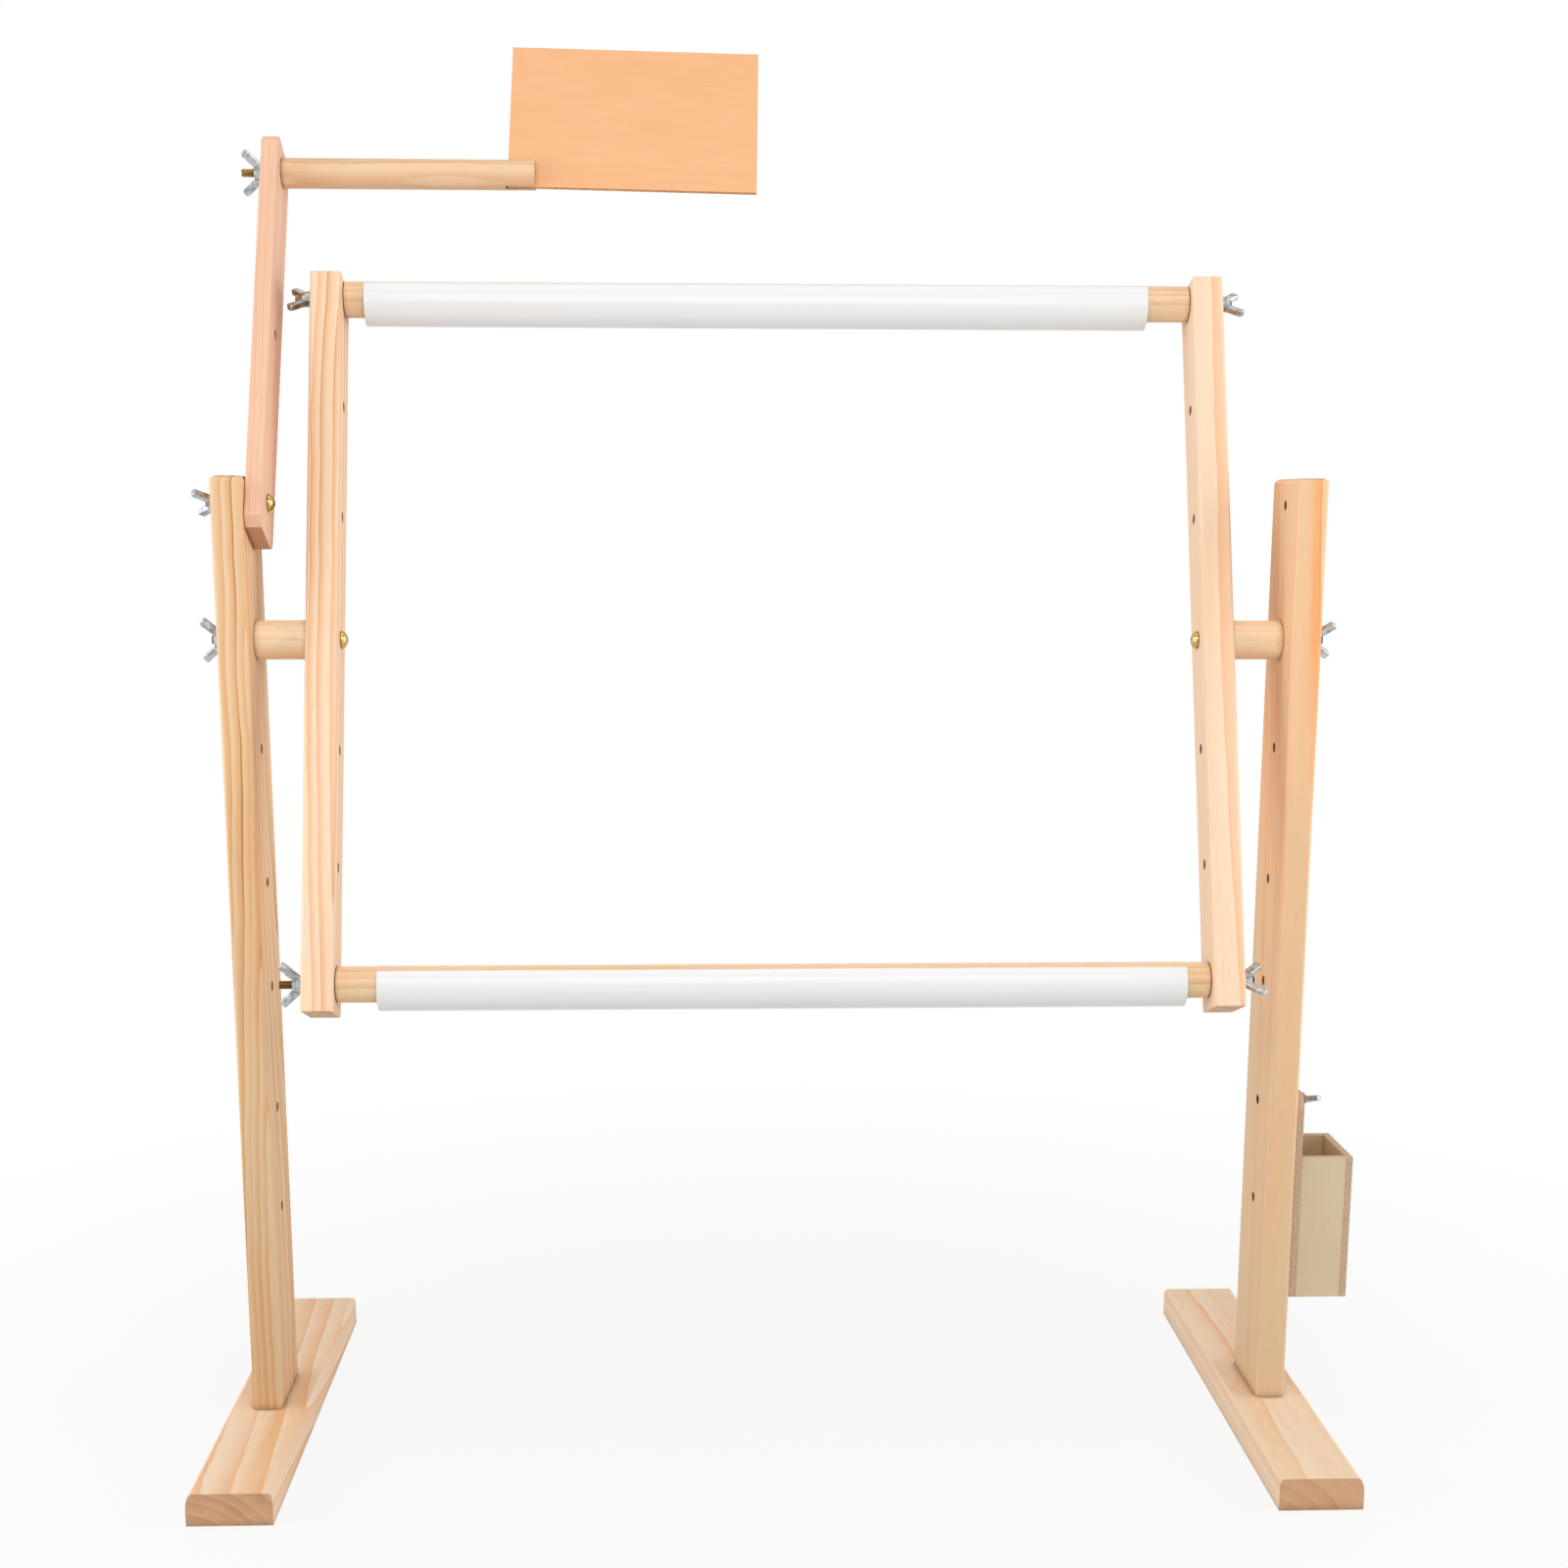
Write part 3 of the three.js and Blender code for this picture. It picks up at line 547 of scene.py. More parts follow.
def pan_bolt(name, length, threaded_length):
    """A pan-head bolt that bears at x = 0, its shank along +X."""
    bpy.ops.object.select_all(action="DESELECT")
    bpy.ops.mesh.primitive_uv_sphere_add(segments=48, ring_count=24, radius=1)
    head = bpy.context.object
    head.name = name
    head.data.name = name
    head.scale = (pan_head["height"] - pan_head["rim"], pan_head["radius"], pan_head["radius"])
    head.location = (-pan_head["rim"], 0, 0)
    bpy.ops.object.transform_apply()
    bpy.ops.object.mode_set(mode="EDIT")
    bpy.ops.mesh.select_all(action="SELECT")
    bpy.ops.mesh.bisect(plane_co=(-pan_head["rim"], 0, 0), plane_no=(1, 0, 0), use_fill=True,
                        clear_outer=True)
    bpy.ops.mesh.select_mode(type="FACE")
    bpy.ops.mesh.select_all(action="DESELECT")
    bpy.ops.object.mode_set(mode="OBJECT")
    for face in head.data.polygons:
        face.select = face.normal.x > 0.99
    bpy.ops.object.mode_set(mode="EDIT")
    bpy.ops.mesh.extrude_region_move(TRANSFORM_OT_translate={"value": (pan_head["rim"], 0, 0)})
    bpy.ops.object.mode_set(mode="OBJECT")
    smooth_end = length - threaded_length
    shank = round_bar("shank", thread["crest"] - 0.05 * mm, (-mm, 0, 0), (smooth_end + mm / 2, 0, 0))
    cut(shank, threaded("thread", smooth_end, length), "UNION")
    cut(head, shank, "UNION")
    up = Matrix.Rotation(-quarter, 4, "Y")
    for tool in cross_recess(6.2 * mm, 1.4 * mm, 2.4 * mm, Vector((-pan_head["height"], 0, 0)), up):
        cut(head, tool)
    ease(head, 0)
    return head


bolts = {
    "left_pivot_bolt": ("pivot_bolt_left", -1, 86, 28),
    "right_pivot_bolt": ("pivot_bolt_right", 1, 86, -12),
    "arm_bolt": ("chart_arm_bolt", -1, 41, 40),
    "tool_box_bolt": ("box_bolt", 1, 35, 15),
}
most_thread = 30
least_shank = 9.4
bolt_axis = {}


def pointing(side):
    """Turns a piece made along +X to point to its own side of the stand."""
    return Matrix.Identity(4) if side > 0 else Matrix.Rotation(math.pi, 4, "Z")


for name, (node, side, length, turned) in bolts.items():
    low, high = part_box(node)
    middle = (low + high) / 2
    bearing = low.x + pan_head["height"] if side > 0 else high.x - pan_head["height"]
    bolt_axis[node] = Vector((0, middle.y, middle.z))
    piece = pan_bolt(name, length * mm, min(most_thread, length - least_shank) * mm)
    settle(piece, Matrix.Translation((bearing, middle.y, middle.z))
           @ Matrix.Rotation(math.radians(turned), 4, "X") @ pointing(side))
    dress(piece, yellow_zinc, "stand", "yellow_zinc", node)


# Side bars of the tilting frame. Pine, 21 by 40 mm, edges rounded over, hung on the pivot bolts at a
# lean. A row of holes across each takes the rods at other spacings.
frame_lean = math.radians(-18.5)
bar_depth = 40 * mm
bar_low = -252.5 * mm
bar_high = 249.5 * mm
bar_holes = (-232.5, -154.5, -75.5, 0, 84.5, 161.5, 237.5)
bar_log = {
    "left": {"pith": (76, -44), "face": -20, "length": 502, "band": 4.2,
             "bends": (3.3, 0.9, -1.2, -2.7, -1.9, -2.1, -2.1, 1.2),
             "years": ((-15, 0.5), (-6.1, 0.85), (0, 0.95), (8.4, 0.9), (17, 0.6), (28, 0.6))},
    "right": {"pith": (84, -40), "face": -20, "length": 502, "band": 9,
              "bends": (6.2, 3.6, 1.7, 0.8, 1.5, 1.6, 2.5),
              "years": ((-24, 0.4), (-11.5, 0.2), (0, 0.75), (22, 0.5), (34, 0.5))},
}
bar_wood = ("#fcdfc0", "#f7c397", "#dba878")
for name, log in bar_log.items():
    low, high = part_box(f"side_bar_{name}")
    piece = plank(f"{name}_side_bar", (low.x, -bar_depth / 2, bar_low), (high.x, bar_depth / 2, bar_high))
    round_edges(piece, lambda at, way: abs(way.z) > 0.9, 2.5 * mm, 6)
    ends = plank("bar ends", (low.x, -bar_depth / 2, bar_low), (high.x, bar_depth / 2, bar_high))
    round_edges(ends, lambda at, way: abs(way.z) < 0.1, 1.5 * mm, 4)
    cut(piece, ends, "INTERSECT")
    for rise in bar_holes:
        near_end = (low.x - mm, 0, rise * mm)
        cut(piece, round_bar("bolt hole", hole_radius, near_end, (high.x + mm, 0, rise * mm)))
    ease(piece, 0.4 * mm)
    place = Matrix.Translation(bolt_axis[f"pivot_bolt_{name}"]) @ Matrix.Rotation(frame_lean, 4, "X")
    settle(piece, place)
    look = timber(f"planed pine, {name} side bar", place @ Matrix.Translation(((low.x + high.x) / 2, 0, 0)),
                  log, bar_wood, seed=2.0 * len(name))
    dress(piece, look, "tilt_frame", "pine", f"side_bar_{name}")


# Scroll rods. Two turned 24 mm pine rods between the bars, on which the work is wound. Each end is
# bored for a stud and its rim is broken.
rod_log = {
    "top": {"pith": (-40, 50), "face": -12, "length": 600, "band": 5, "bends": (4, 0, -3, 0, 4),
            "years": ((-10, 0.5), (-2, 0.6), (6, 0.9), (13, 0.5), (21, 0.6))},
    "bottom": {"pith": (-60, 30), "face": -12, "length": 600, "band": 5, "bends": (2, 0, 1, 0, 2),
               "years": ((-8, 0.5), (-1, 0.9), (8, 0.6), (17, 0.5))},
}
dowel_wood = ("#f9dcb6", "#efbf8f", "#dba573")
stud_bore = {"radius": 3.3 * mm, "deep": 26.3 * mm}
for name, log in rod_log.items():
    low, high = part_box(f"scroll_rod_{name}")
    middle = (low + high) / 2
    piece = round_bar(f"{name}_rod", (high.z - low.z) / 2, (low.x, middle.y, middle.z),
                      (high.x, middle.y, middle.z), sides=96)
    for end, inward in ((low.x, 1), (high.x, -1)):
        ends = sorted((end - inward * mm, end + inward * stud_bore["deep"]))
        cut(piece, round_bar("bore", stud_bore["radius"], (ends[0], middle.y, middle.z),
                             (ends[1], middle.y, middle.z)))
    ease(piece, 0.6 * mm)
    look = timber(f"turned pine, {name} rod", Matrix.Translation(middle) @ grain_along_x, log, dowel_wood,
                  seed=len(name) + 0.7)
    dress(piece, look, f"scroll_rod_{name}", "pine", f"scroll_rod_{name}")


# Studs. Lengths of M6 threaded rod, plated in yellow zinc, screwed into the ends of the rods; they go
# through the bars or the arm and carry the wing nuts. The lower ones have a browner, more worn film.
brown_zinc = zinc_plate("worn yellow zinc plate", ("#7a5230", "#a8744a", "#93703f"), 0.24, 2.0)
stud_looks = {
    "rod_stud_top_left": ("scroll_rod_top", yellow_zinc),
    "rod_stud_top_right": ("scroll_rod_top", yellow_zinc),
    "rod_stud_bottom_left": ("scroll_rod_bottom", brown_zinc),
    "rod_stud_bottom_right": ("scroll_rod_bottom", brown_zinc),
    "chart_rod_stud": ("chart_holder", yellow_zinc),
}
for node, (body, look) in stud_looks.items():
    low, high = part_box(node)
    middle = (low + high) / 2
    outwards = math.copysign(1, middle.x)
    start = low.x if outwards > 0 else high.x
    piece = threaded(f"{node}_thread", 0, high.x - low.x)
    settle(piece, Matrix.Translation((start, middle.y, middle.z)) @ pointing(outwards))
    ease(piece, 0, sharp=35)
    dress(piece, look, body, "yellow_zinc", node)


# Wing nuts. Nine cast zinc-plated nuts, a conical hub with two splayed tabs run into it by soft fillets.
# One is modelled and the rest are copies, each left turned as it was tightened.
hub = {"base": 6 * mm, "top": 4.75 * mm, "height": 7.5 * mm}
wing = {"across": 5.3 * mm, "thick": 4 * mm, "root": (3.3 * mm, 3.4 * mm), "tip": (12.1 * mm, 13.15 * mm)}
bpy.ops.object.select_all(action="DESELECT")
bpy.ops.mesh.primitive_cone_add(vertices=64, radius1=hub["base"], radius2=hub["top"], depth=hub["height"],
                                location=(hub["height"] / 2, 0, 0), rotation=(0, quarter, 0))
nut = bpy.context.object
bpy.ops.object.transform_apply()
run = Vector((wing["tip"][1] - wing["root"][1], 0, wing["tip"][0] - wing["root"][0]))
splay = math.atan2(run.x, run.z)
for turned in (0, math.pi):
    bpy.ops.object.select_all(action="DESELECT")
    bpy.ops.mesh.primitive_cube_add(size=1, location=(0, 0, 0))
    tab = bpy.context.object
    tab.scale = (wing["across"], wing["thick"], run.length + wing["across"] / 2)
    tab.location = (0, 0, (run.length + wing["across"] / 2) / 2)
    bpy.ops.object.transform_apply()
    round_edges(tab, lambda at, way: at.z > run.length and abs(way.y) > 0.9, 1.3 * mm, 4)
    round_edges(tab, lambda at, way: abs(way.y) < 0.9, 0.5 * mm, 2)
    settle(tab, Matrix.Rotation(turned, 4, "X") @ Matrix.Translation((wing["root"][1], 0, wing["root"][0]))
           @ Matrix.Rotation(splay, 4, "Y"))
    cut(nut, tab, "UNION")
base = plank("bearing plane", (0, -20 * mm, -20 * mm), (20 * mm, 20 * mm, 20 * mm))
cut(nut, base, "INTERSECT")
take(nut)
cast = nut.modifiers.new("cast", "REMESH")
cast.mode = "VOXEL"
cast.voxel_size = 0.24 * mm
bpy.ops.object.modifier_apply(modifier=cast.name)
soft = nut.modifiers.new("soft", "SMOOTH")
soft.factor = 0.5
soft.iterations = 3
bpy.ops.object.modifier_apply(modifier=soft.name)
cut(nut, round_bar("bore", 3.05 * mm, (-mm, 0, 0), (20 * mm, 0, 0)))
bpy.ops.object.shade_smooth_by_angle(angle=math.radians(40))

grey_zinc = zinc_plate("bright zinc plate", ("#85898c", "#afb2b4", "#cfd1d0"), 0.2, 4.0)
nuts = {
    "pivot_wing_nut_left": ("pivot_bolt_left", -1, 18),
    "pivot_wing_nut_right": ("pivot_bolt_right", 1, 38),
    "rod_wing_nut_top_left": ("scroll_rod_top", -1, 117.5),
    "rod_wing_nut_top_right": ("scroll_rod_top", 1, 119.5),
    "rod_wing_nut_bottom_left": ("scroll_rod_bottom", -1, 7.5),
    "rod_wing_nut_bottom_right": ("scroll_rod_bottom", 1, 121.5),
    "chart_arm_wing_nut": ("chart_arm_bolt", -1, 61),
    "chart_rod_wing_nut": ("chart_rod", -1, 9.5),
    "box_wing_nut": ("box_bolt", 1, 73),
}
for node, (carrier, side, turned) in nuts.items():
    carrier_low, carrier_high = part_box(carrier)
    axis = (carrier_low + carrier_high) / 2
    low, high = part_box(node)
    seat = low.x if side > 0 else high.x
    piece = nut.copy()
    piece.data = nut.data.copy()
    piece.name = f"{node}_cast"
    piece.data.name = piece.name
    bpy.context.scene.collection.objects.link(piece)
    settle(piece, Matrix.Translation((seat, axis.y, axis.z)) @ Matrix.Rotation(math.radians(turned), 4, "X")
           @ pointing(side))
    dress(piece, grey_zinc, node, "grey_zinc", node)
bpy.data.objects.remove(nut)


# Clips. Two lengths of white extruded plastic tube, split along the top, that snap over the rods and
# pin the cloth. Each hangs on its rod by the two rounded lips.
clip = {"bore": 13.8 * mm, "wall": 2 * mm, "open": 33}
white_plastic, tree, shader = blank("white extruded plastic")
here = add(tree, "TexCoord", out=3)

# die lines run along the tube, about a millimetre apart
lines = noise(tree, here, (2, 900, 900), 2.0)
shade = add(tree, "ValToRGB", {"Fac": lines}, stops=[(0.3, linear("#ebebea")), (0.7, linear("#f1f1f1"))])
tree.links.new(shade, shader.inputs["Base Color"])
rough = spread(tree, lines, 0, 1, 0.26, 0.4)
tree.links.new(rough, shader.inputs["Roughness"])
bump = add(tree, "Bump", {"Height": lines, "Strength": 0.15, "Distance": 0.03 * mm})
tree.links.new(bump, shader.inputs["Normal"])
shader.inputs["IOR"].default_value = 1.49
for name in ("top", "bottom"):
    low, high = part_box(f"fabric_clip_{name}")
    outer = clip["bore"] + clip["wall"]
    centre = Vector((low.x, (low.y + high.y) / 2, low.z + outer))
    steps = 72
    bpy.ops.object.select_all(action="DESELECT")
    bpy.ops.mesh.primitive_circle_add(vertices=steps, radius=clip["bore"] + clip["wall"] / 2, location=centre,
                                      rotation=(quarter, 0, quarter))
    piece = bpy.context.object
    piece.name = f"{name}_clip"
    piece.data.name = piece.name
    bpy.ops.object.transform_apply()
    bpy.ops.object.mode_set(mode="EDIT")
    bpy.ops.mesh.select_mode(type="VERT")
    bpy.ops.mesh.select_all(action="DESELECT")
    bpy.ops.object.mode_set(mode="OBJECT")
    for vertex in piece.data.vertices:
        off = vertex.co - centre
        vertex.select = abs(math.degrees(math.atan2(off.y, off.z))) < clip["open"] - 0.1
    bpy.ops.object.mode_set(mode="EDIT")
    bpy.ops.mesh.delete(type="VERT")
    bpy.ops.mesh.select_all(action="SELECT")
    bpy.ops.mesh.extrude_region_move(TRANSFORM_OT_translate={"value": (high.x - low.x, 0, 0)})
    bpy.ops.mesh.select_all(action="SELECT")
    bpy.ops.mesh.normals_make_consistent(inside=False)
    bpy.ops.object.mode_set(mode="OBJECT")
    wall = piece.modifiers.new("wall", "SOLIDIFY")
    wall.thickness = clip["wall"]
    wall.offset = 0
    wall.use_even_offset = True
    bpy.ops.object.modifier_apply(modifier=wall.name)
    ease(piece, 0.5 * mm, steps=3)
    dress(piece, white_plastic, f"scroll_rod_{name}", "white_plastic", f"fabric_clip_{name}")


# Chart arm. A flat bar of a pinkish, fine-grained wood, 45 by 11 mm, with round corners and lightly
# broken edges, bolted inside the left post and leaning back.
arm_lean = math.radians(-26.5)
arm_low, arm_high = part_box("chart_arm")
arm_half = 22.5 * mm
arm_ends = (-25.5 * mm, 265.5 * mm)
arm_holes = (0, 124, 248)
arm_rear_round = 8 * mm
arm_front_chamfer = 6 * mm
piece = plank("arm", (arm_low.x, -arm_half, arm_ends[0]), (arm_high.x, arm_half, arm_ends[1]))
round_edges(piece, lambda at, way: abs(way.x) > 0.9 and at.y > 0, arm_rear_round, 10)
round_edges(piece, lambda at, way: abs(way.x) > 0.9 and at.y < near - arm_half, arm_front_chamfer, 1)
for rise in arm_holes:
    near_end = (arm_low.x - mm, 0, rise * mm)
    cut(piece, round_bar("bolt hole", hole_radius, near_end, (arm_high.x + mm, 0, rise * mm)))
ease(piece, 0.5 * mm)
arm_place = Matrix.Translation(bolt_axis["chart_arm_bolt"]) @ Matrix.Rotation(arm_lean, 4, "X")
settle(piece, arm_place)
arm_log = {"pith": (-90, 20), "face": -22, "length": 291, "band": 2, "bends": (1, 0, 0.5, -1),
           "years": ((-4, 0.5), (-1.5, 0.8), (0.5, 0.4), (3, 0.7), (5.5, 0.5), (8, 0.6))}
look = timber("planed pinkish wood", arm_place @ Matrix.Translation(((arm_low.x + arm_high.x) / 2, 0, 0)),
              arm_log, ("#f7ccae", "#efb694", "#dd9f7c"), ("#cf9f7c", "#b98560"), contrast=0.7, seed=7.7)
dress(piece, look, "chart_arm", "pink_wood", "chart_arm")


# Chart rod. A 20 mm pine dowel on a stud at the top of the arm; its free end is sawn open along the
# grain and holds the board.
low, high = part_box("chart_rod")
rod_middle = (low + high) / 2
rod_radius = 10 * mm
kerf = {"long": 20 * mm, "half": 1.8 * mm, "across": 11 * mm}
axis = Vector((0, rod_middle.y, rod_middle.z))
chart_place = Matrix.Translation(axis) @ Matrix.Rotation(arm_lean, 4, "X")
piece = round_bar("chart_holder_rod", rod_radius, (low.x, 0, 0), (high.x, 0, 0), sides=96)
cut(piece, round_bar("bore", stud_bore["radius"], (low.x - mm, 0, 0), (low.x + stud_bore["deep"], 0, 0)))
cut(piece, plank("kerf", (high.x - kerf["long"], -kerf["half"], -kerf["across"]),
                 (high.x + mm, kerf["half"], kerf["across"])))
ease(piece, 0.5 * mm)
settle(piece, chart_place)
chart_rod_log = {"pith": (-60, 30), "face": -10, "length": 173, "band": 4, "bends": (0, 1, -1, 0.5),
                 "years": ((-5, 0.35), (-2.5, 0.95), (6, 0.3), (12, 0.6))}
rod_place = chart_place @ Matrix.Translation((rod_middle.x, 0, 0)) @ grain_along_x
look = timber("turned pine, chart rod", rod_place, chart_rod_log,
              ("#f3d0a9", "#e6b183", "#d2965f"), seed=8.3)
dress(piece, look, "chart_holder", "pine", "chart_rod")


# Chart board. A 3 mm plywood panel glued in the rod's kerf by its lower corner, a little off square. Its
# orange face veneer shows faint cathedral grain, and its sawn edges show three plies.
board = {"width": 172 * mm, "height": 110.5 * mm, "half": 1.5 * mm, "below": 9.4 * mm, "into_kerf": 19 * mm}
board_skew = math.radians(1.3)


def veneered(name, place, half, ply, face, streak, core, glue, ring, figure, seed):
    """Plywood: a peeled face veneer with slow cathedral figure, and bare plies at the sawn edges.

    place carries the sheet to the piece, its Z along the grain and its Y through the plies; half is half the
    sheet's thickness and ply one layer's, all in millimetres. figure is the strength of the flames.
    """
    look, tree, shader = blank(name)
    sheet = within(tree, place)

    # the lathe cut follows the rings, which leaves wide flames along the grain
    flame = noise(tree, sheet, (0.045, 0.02, 0.009), 1.5, shift=(seed, 0, seed * 0.7), distortion=0.3)
    flame = add(tree, "Math", {0: flame, 1: 60 / ring}, operation="MULTIPLY")
    flame = add(tree, "Math", {0: flame}, operation="FRACT")
    flame = add(tree, "ValToRGB", {"Fac": flame}, stops=[
        (0.0, 0.2), (0.15, 0.0), (0.7, 0.35), (0.92, 1.0), (1.0, 0.2),
    ])
    fibre = noise(tree, sheet, (1.8, 1.8, 0.04), 3.0)
    sheen = spread(tree, fibre, 0.3, 0.7, 0.965, 1.03)
    flame = add(tree, "Math", {0: flame, 1: figure}, operation="MULTIPLY")
    cloud = noise(tree, sheet, (0.03, 0.03, 0.012), 2.0, shift=(seed, 3, 1))
    cloud = spread(tree, cloud, 0.35, 0.75, high=0.4)
    flame = add(tree, "Math", {0: flame, 1: cloud}, operation="ADD")
    skin = mix(tree, flame, linear(face), linear(streak))
    skin = add(tree, "VectorMath", {0: skin, "Scale": sheen}, operation="SCALE")

    # on a sawn edge the layers alternate, and the saw tears the cross plies
    torn = noise(tree, sheet, (0.8, 0.8, 0.8), 3.0)
    depth = add(tree, "SeparateXYZ", {0: sheet}, out=1)
    depth = add(tree, "Math", {0: depth, 1: half}, operation="ADD")
    depth = add(tree, "Math", {0: torn, 1: 0.5 * ply, 2: depth}, operation="MULTIPLY_ADD")
    layer = add(tree, "Math", {0: depth, 1: 2 * ply}, operation="DIVIDE")
    layer = add(tree, "Math", {0: layer}, operation="FRACT")
    crumb = noise(tree, sheet, (1.6, 1.6, 1.6), 2.0)
    layers = add(tree, "ValToRGB", {"Fac": layer}, stops=[
        (0.0, linear(glue)), (0.1, linear(face)), (0.42, linear(face)), (0.52, linear(glue)),
        (0.62, linear(core)), (0.9, linear(core)), (1.0, linear(glue)),
    ])
    crumb = spread(tree, crumb, 0.35, 0.65, 0.55, 1.25)
    layers = add(tree, "VectorMath", {0: layers, "Scale": crumb}, operation="SCALE")
    on_face = squareness(tree, place.to_3x3() @ Vector((0, 1, 0)), 0.5, 0.75)
    colour = mix(tree, on_face, layers, skin)

    # painted shade: corners and the inside of the box are tinted a darker warm brown where ambient occlusion
    # finds them closed in
    painted_shade = add(tree, "AmbientOcclusion", {"Distance": 30 * mm}, out=1, samples=8)
    painted_shade = spread(tree, painted_shade, 0.2, 0.8, 0.75, 0.0)
    colour = mix(tree, painted_shade, colour, linear("#cf9560"))
    tree.links.new(colour, shader.inputs["Base Color"])
    bump = add(tree, "Bump", {"Height": fibre, "Strength": 0.2, "Distance": 0.04 * mm})
    tree.links.new(bump, shader.inputs["Normal"])
    shader.inputs["Roughness"].default_value = 0.58
    shader.inputs["IOR"].default_value = 1.45
    return look


piece = plank("board", (0, -board["half"], -board["below"]),
              (board["width"], board["half"], board["height"] - board["below"]))
ease(piece, 0.35 * mm)
board_place = (Matrix.Translation(axis + Vector((high.x - board["into_kerf"], 0, 0)))
               @ Matrix.Rotation(arm_lean, 4, "X") @ Matrix.Rotation(board_skew, 4, "Y"))
settle(piece, board_place)
sheet_place = board_place @ Matrix.Translation((board["width"] / 2, 0, board["height"] / 2)) @ grain_along_x
look = veneered("orange birch plywood", sheet_place, half=1.5, ply=1.0, face="#f5ba87", streak="#f2ad78",
                core="#dea06c", glue="#b97c4c", ring=9.0, figure=0.08, seed=4.4)
dress(piece, look, "chart_holder", "ply", "chart_board")


# Tool box. Five pieces of 5 mm plywood, butted and glued: a back plate that rises to the bolt, two cross
# walls, an outer wall and a bottom. The saw left the plies open and ragged at every edge.
box_ply = 5 * mm
box_half = 32 * mm
box_levels = {"low": -136.5 * mm, "rim": -34 * mm, "plate": 11 * mm}
back_low, back_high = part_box("box_back_plate")
outer_low, outer_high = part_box("box_outer_wall")
box_place = Matrix.Translation(bolt_axis["box_bolt"])
inner_x = back_high.x
outer_x = outer_low.x
inside = box_half - box_ply
glue_gap = 0.2 * mm
plate_round = 12 * mm
box_parts = {
    "back_plate": ("box_back_plate", (back_low.x, -box_half, box_levels["low"]),
                   (inner_x, box_half, box_levels["plate"]), "X"),
    "outer_wall": ("box_outer_wall", (outer_x, -box_half, box_levels["low"]),
                   (outer_high.x, box_half, box_levels["rim"]), "X"),
    "front_wall": ("box_front_wall", (inner_x, -box_half, box_levels["low"]),
                   (outer_x, -inside, box_levels["rim"]), "Y"),
    "rear_wall": ("box_rear_wall", (inner_x, inside, box_levels["low"]),
                  (outer_x, box_half, box_levels["rim"]), "Y"),
    "bottom": ("box_bottom", (inner_x, -inside + glue_gap, box_levels["low"]),
               (outer_x, inside - glue_gap, box_levels["low"] + box_ply), "Z"),
}
through_x = Matrix.Rotation(-quarter, 4, "Z")
through_z = Matrix.Rotation(quarter, 4, "X")
turns = {"X": through_x, "Y": Matrix.Identity(4), "Z": through_z}
for name, (node, low, high, through) in box_parts.items():
    piece = plank(f"tool_box_{name}", low, high)
    if name == "back_plate":
        round_edges(piece, lambda at, way: at.z > high[2] - near and abs(way.x) > 0.9, plate_round, 10)
        cut(piece, round_bar("bolt hole", hole_radius, (low[0] - mm, 0, 0), (high[0] + mm, 0, 0)))
    ease(piece, 0.3 * mm)
    settle(piece, box_place)
    middle = (Vector(low) + Vector(high)) / 2
    look = veneered(f"raw plywood, {name}", box_place @ Matrix.Translation(middle) @ turns[through],
                    half=2.5, ply=1.0, face="#d8c3a4", streak="#c6ad8b", core="#dcb18f", glue="#8f5f3d",
                    ring=16.0, figure=0.06, seed=1.0 + len(name))
    dress(piece, look, "tool_box", "box_ply", node)


# Floor and light. A white sweep with a soft shadow under four soft lamps: a small one in front, a big one
# overhead and one from each side for the inner faces of the posts. A white room fills the rest.
def seen_directly(tree):
    """One for rays from the camera, or that reach it by a mirror or through glass, and else nothing."""
    rays = tree.nodes.new("ShaderNodeLightPath").outputs
    seen = add(tree, "Math", {0: rays["Is Camera Ray"], 1: rays["Is Glossy Ray"]}, operation="ADD")
    return add(tree, "Math", {0: seen, 1: rays["Is Transmission Ray"]}, operation="ADD", use_clamp=True)


bpy.ops.object.select_all(action="DESELECT")
bpy.ops.mesh.primitive_circle_add(vertices=96, radius=9, fill_type="NGON", location=(0, 0, -0.0005))
floor = bpy.context.object
floor.name = "floor"
sweep = bpy.data.materials.new("white sweep")
sweep.use_nodes = True
tree = sweep.node_tree
tree.nodes.clear()
seen = seen_directly(tree)
away = add(tree, "VectorMath", {0: add(tree, "TexCoord", out=3)}, out=1, operation="LENGTH")
away = spread(tree, away, 0.35, 1.0, 0.85, 1.0)
seen = add(tree, "Math", {0: seen, 1: away}, operation="MULTIPLY")
matt = add(tree, "BsdfDiffuse", {"Color": linear("#dcdcdc")})
white = add(tree, "Emission", {"Color": (1, 1, 1, 1), "Strength": 1.0})
both = add(tree, "MixShader", {0: seen, 1: matt, 2: white})
output = tree.nodes.new("ShaderNodeOutputMaterial")
tree.links.new(both, output.inputs["Surface"])
floor.data.materials.append(sweep)

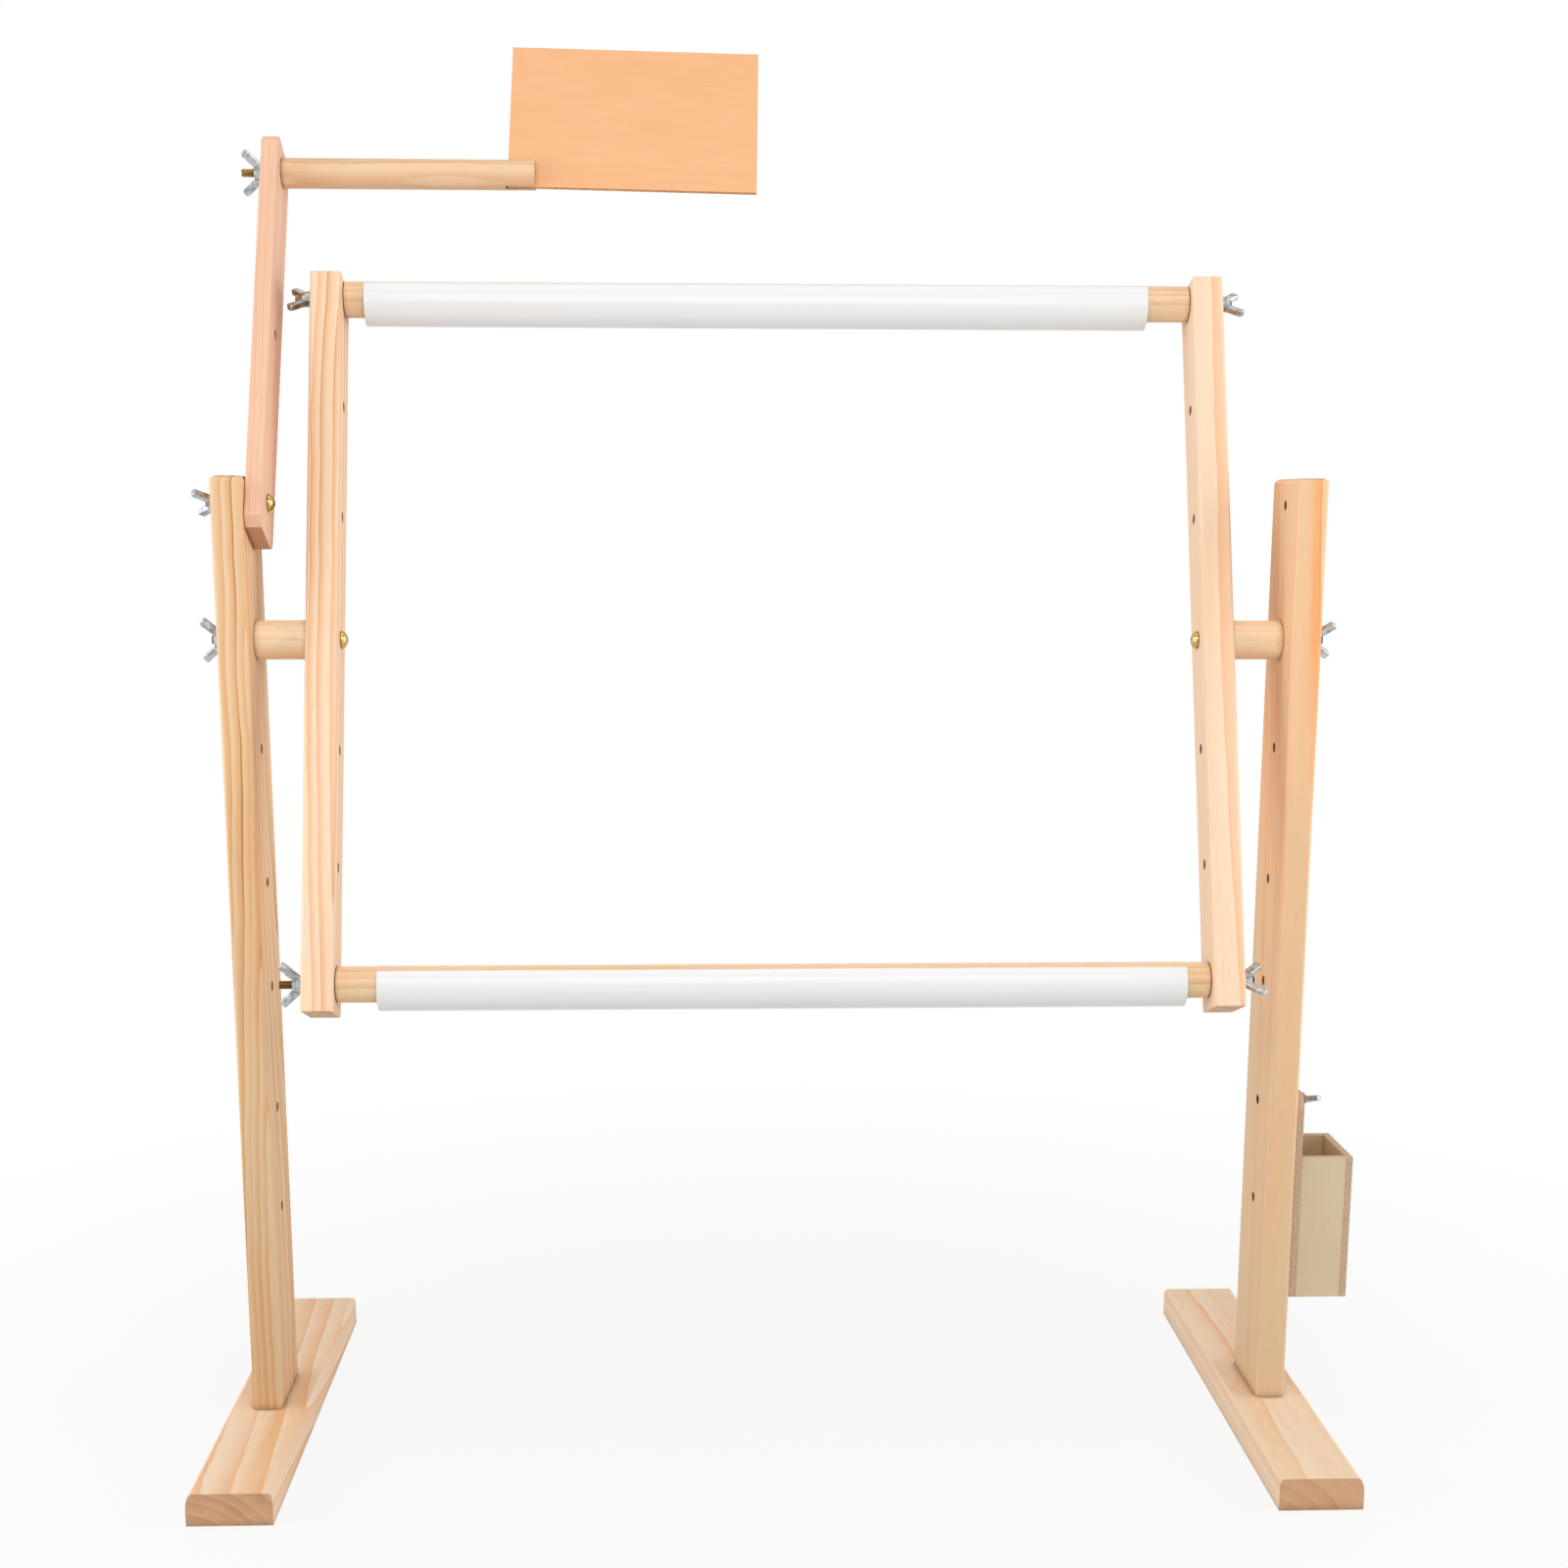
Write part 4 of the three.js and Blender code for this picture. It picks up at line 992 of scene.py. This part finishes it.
room = bpy.data.worlds.new("white room")
bpy.context.scene.world = room
room.use_nodes = True
tree = room.node_tree
tree.nodes.clear()
seen = seen_directly(tree)
fill = add(tree, "Background", {"Color": (1, 1, 1, 1), "Strength": 0.4})
plain = add(tree, "Background", {"Color": (1, 1, 1, 1), "Strength": 1.0})
both = add(tree, "MixShader", {0: seen, 1: fill, 2: plain})
output = tree.nodes.new("ShaderNodeOutputWorld")
tree.links.new(both, output.inputs["Surface"])

lamps = {
    "front": ((0.0, -1.3, 1.3), (1.1, 0.7), 7.6),
    "above": ((0.0, -0.5, 4.0), (2.4, 1.8), 22),
    "left": ((-2.2, -0.4, 0.8), (2.2, 1.6), 28),
    "right": ((2.2, -0.4, 0.8), (2.2, 1.6), 28),
}
for name, (at, size, power) in lamps.items():
    lamp = bpy.data.lights.new(name, "AREA")
    lamp.shape = "RECTANGLE"
    lamp.size, lamp.size_y = size
    lamp.energy = power
    lamp_object = bpy.data.objects.new(name, lamp)
    lamp_object.location = at
    lamp_object.rotation_euler = (Vector((0, 0, 0.5)) - Vector(at)).to_track_quat("-Z", "Y").to_euler()
    bpy.context.scene.collection.objects.link(lamp_object)


# Camera. It stands 1.6 m in front at the height of the posts' tops and looks a little down, with the
# frame raised by a shift as the photograph was cropped.
camera = bpy.data.cameras.new("camera")
camera.sensor_width = 36
camera.lens = 52.98
camera.shift_x = 0.0013
camera.shift_y = 0.1344
stand_point = bpy.data.objects.new("camera", camera)
camera_place = (-0.0663, -1.5846, 0.6446)
yaw = math.radians(2.25)
pitch = math.radians(12.0)
roll = math.radians(0.14)
ahead = Vector((math.sin(yaw) * math.cos(pitch), math.cos(yaw) * math.cos(pitch), -math.sin(pitch)))
stand_point.matrix_world = (Matrix.Translation(camera_place)
                            @ ahead.to_track_quat("-Z", "Y").to_matrix().to_4x4()
                            @ Matrix.Rotation(roll, 4, "Z"))
bpy.context.scene.collection.objects.link(stand_point)
bpy.context.scene.camera = stand_point
bpy.context.scene.view_settings.view_transform = "Standard"
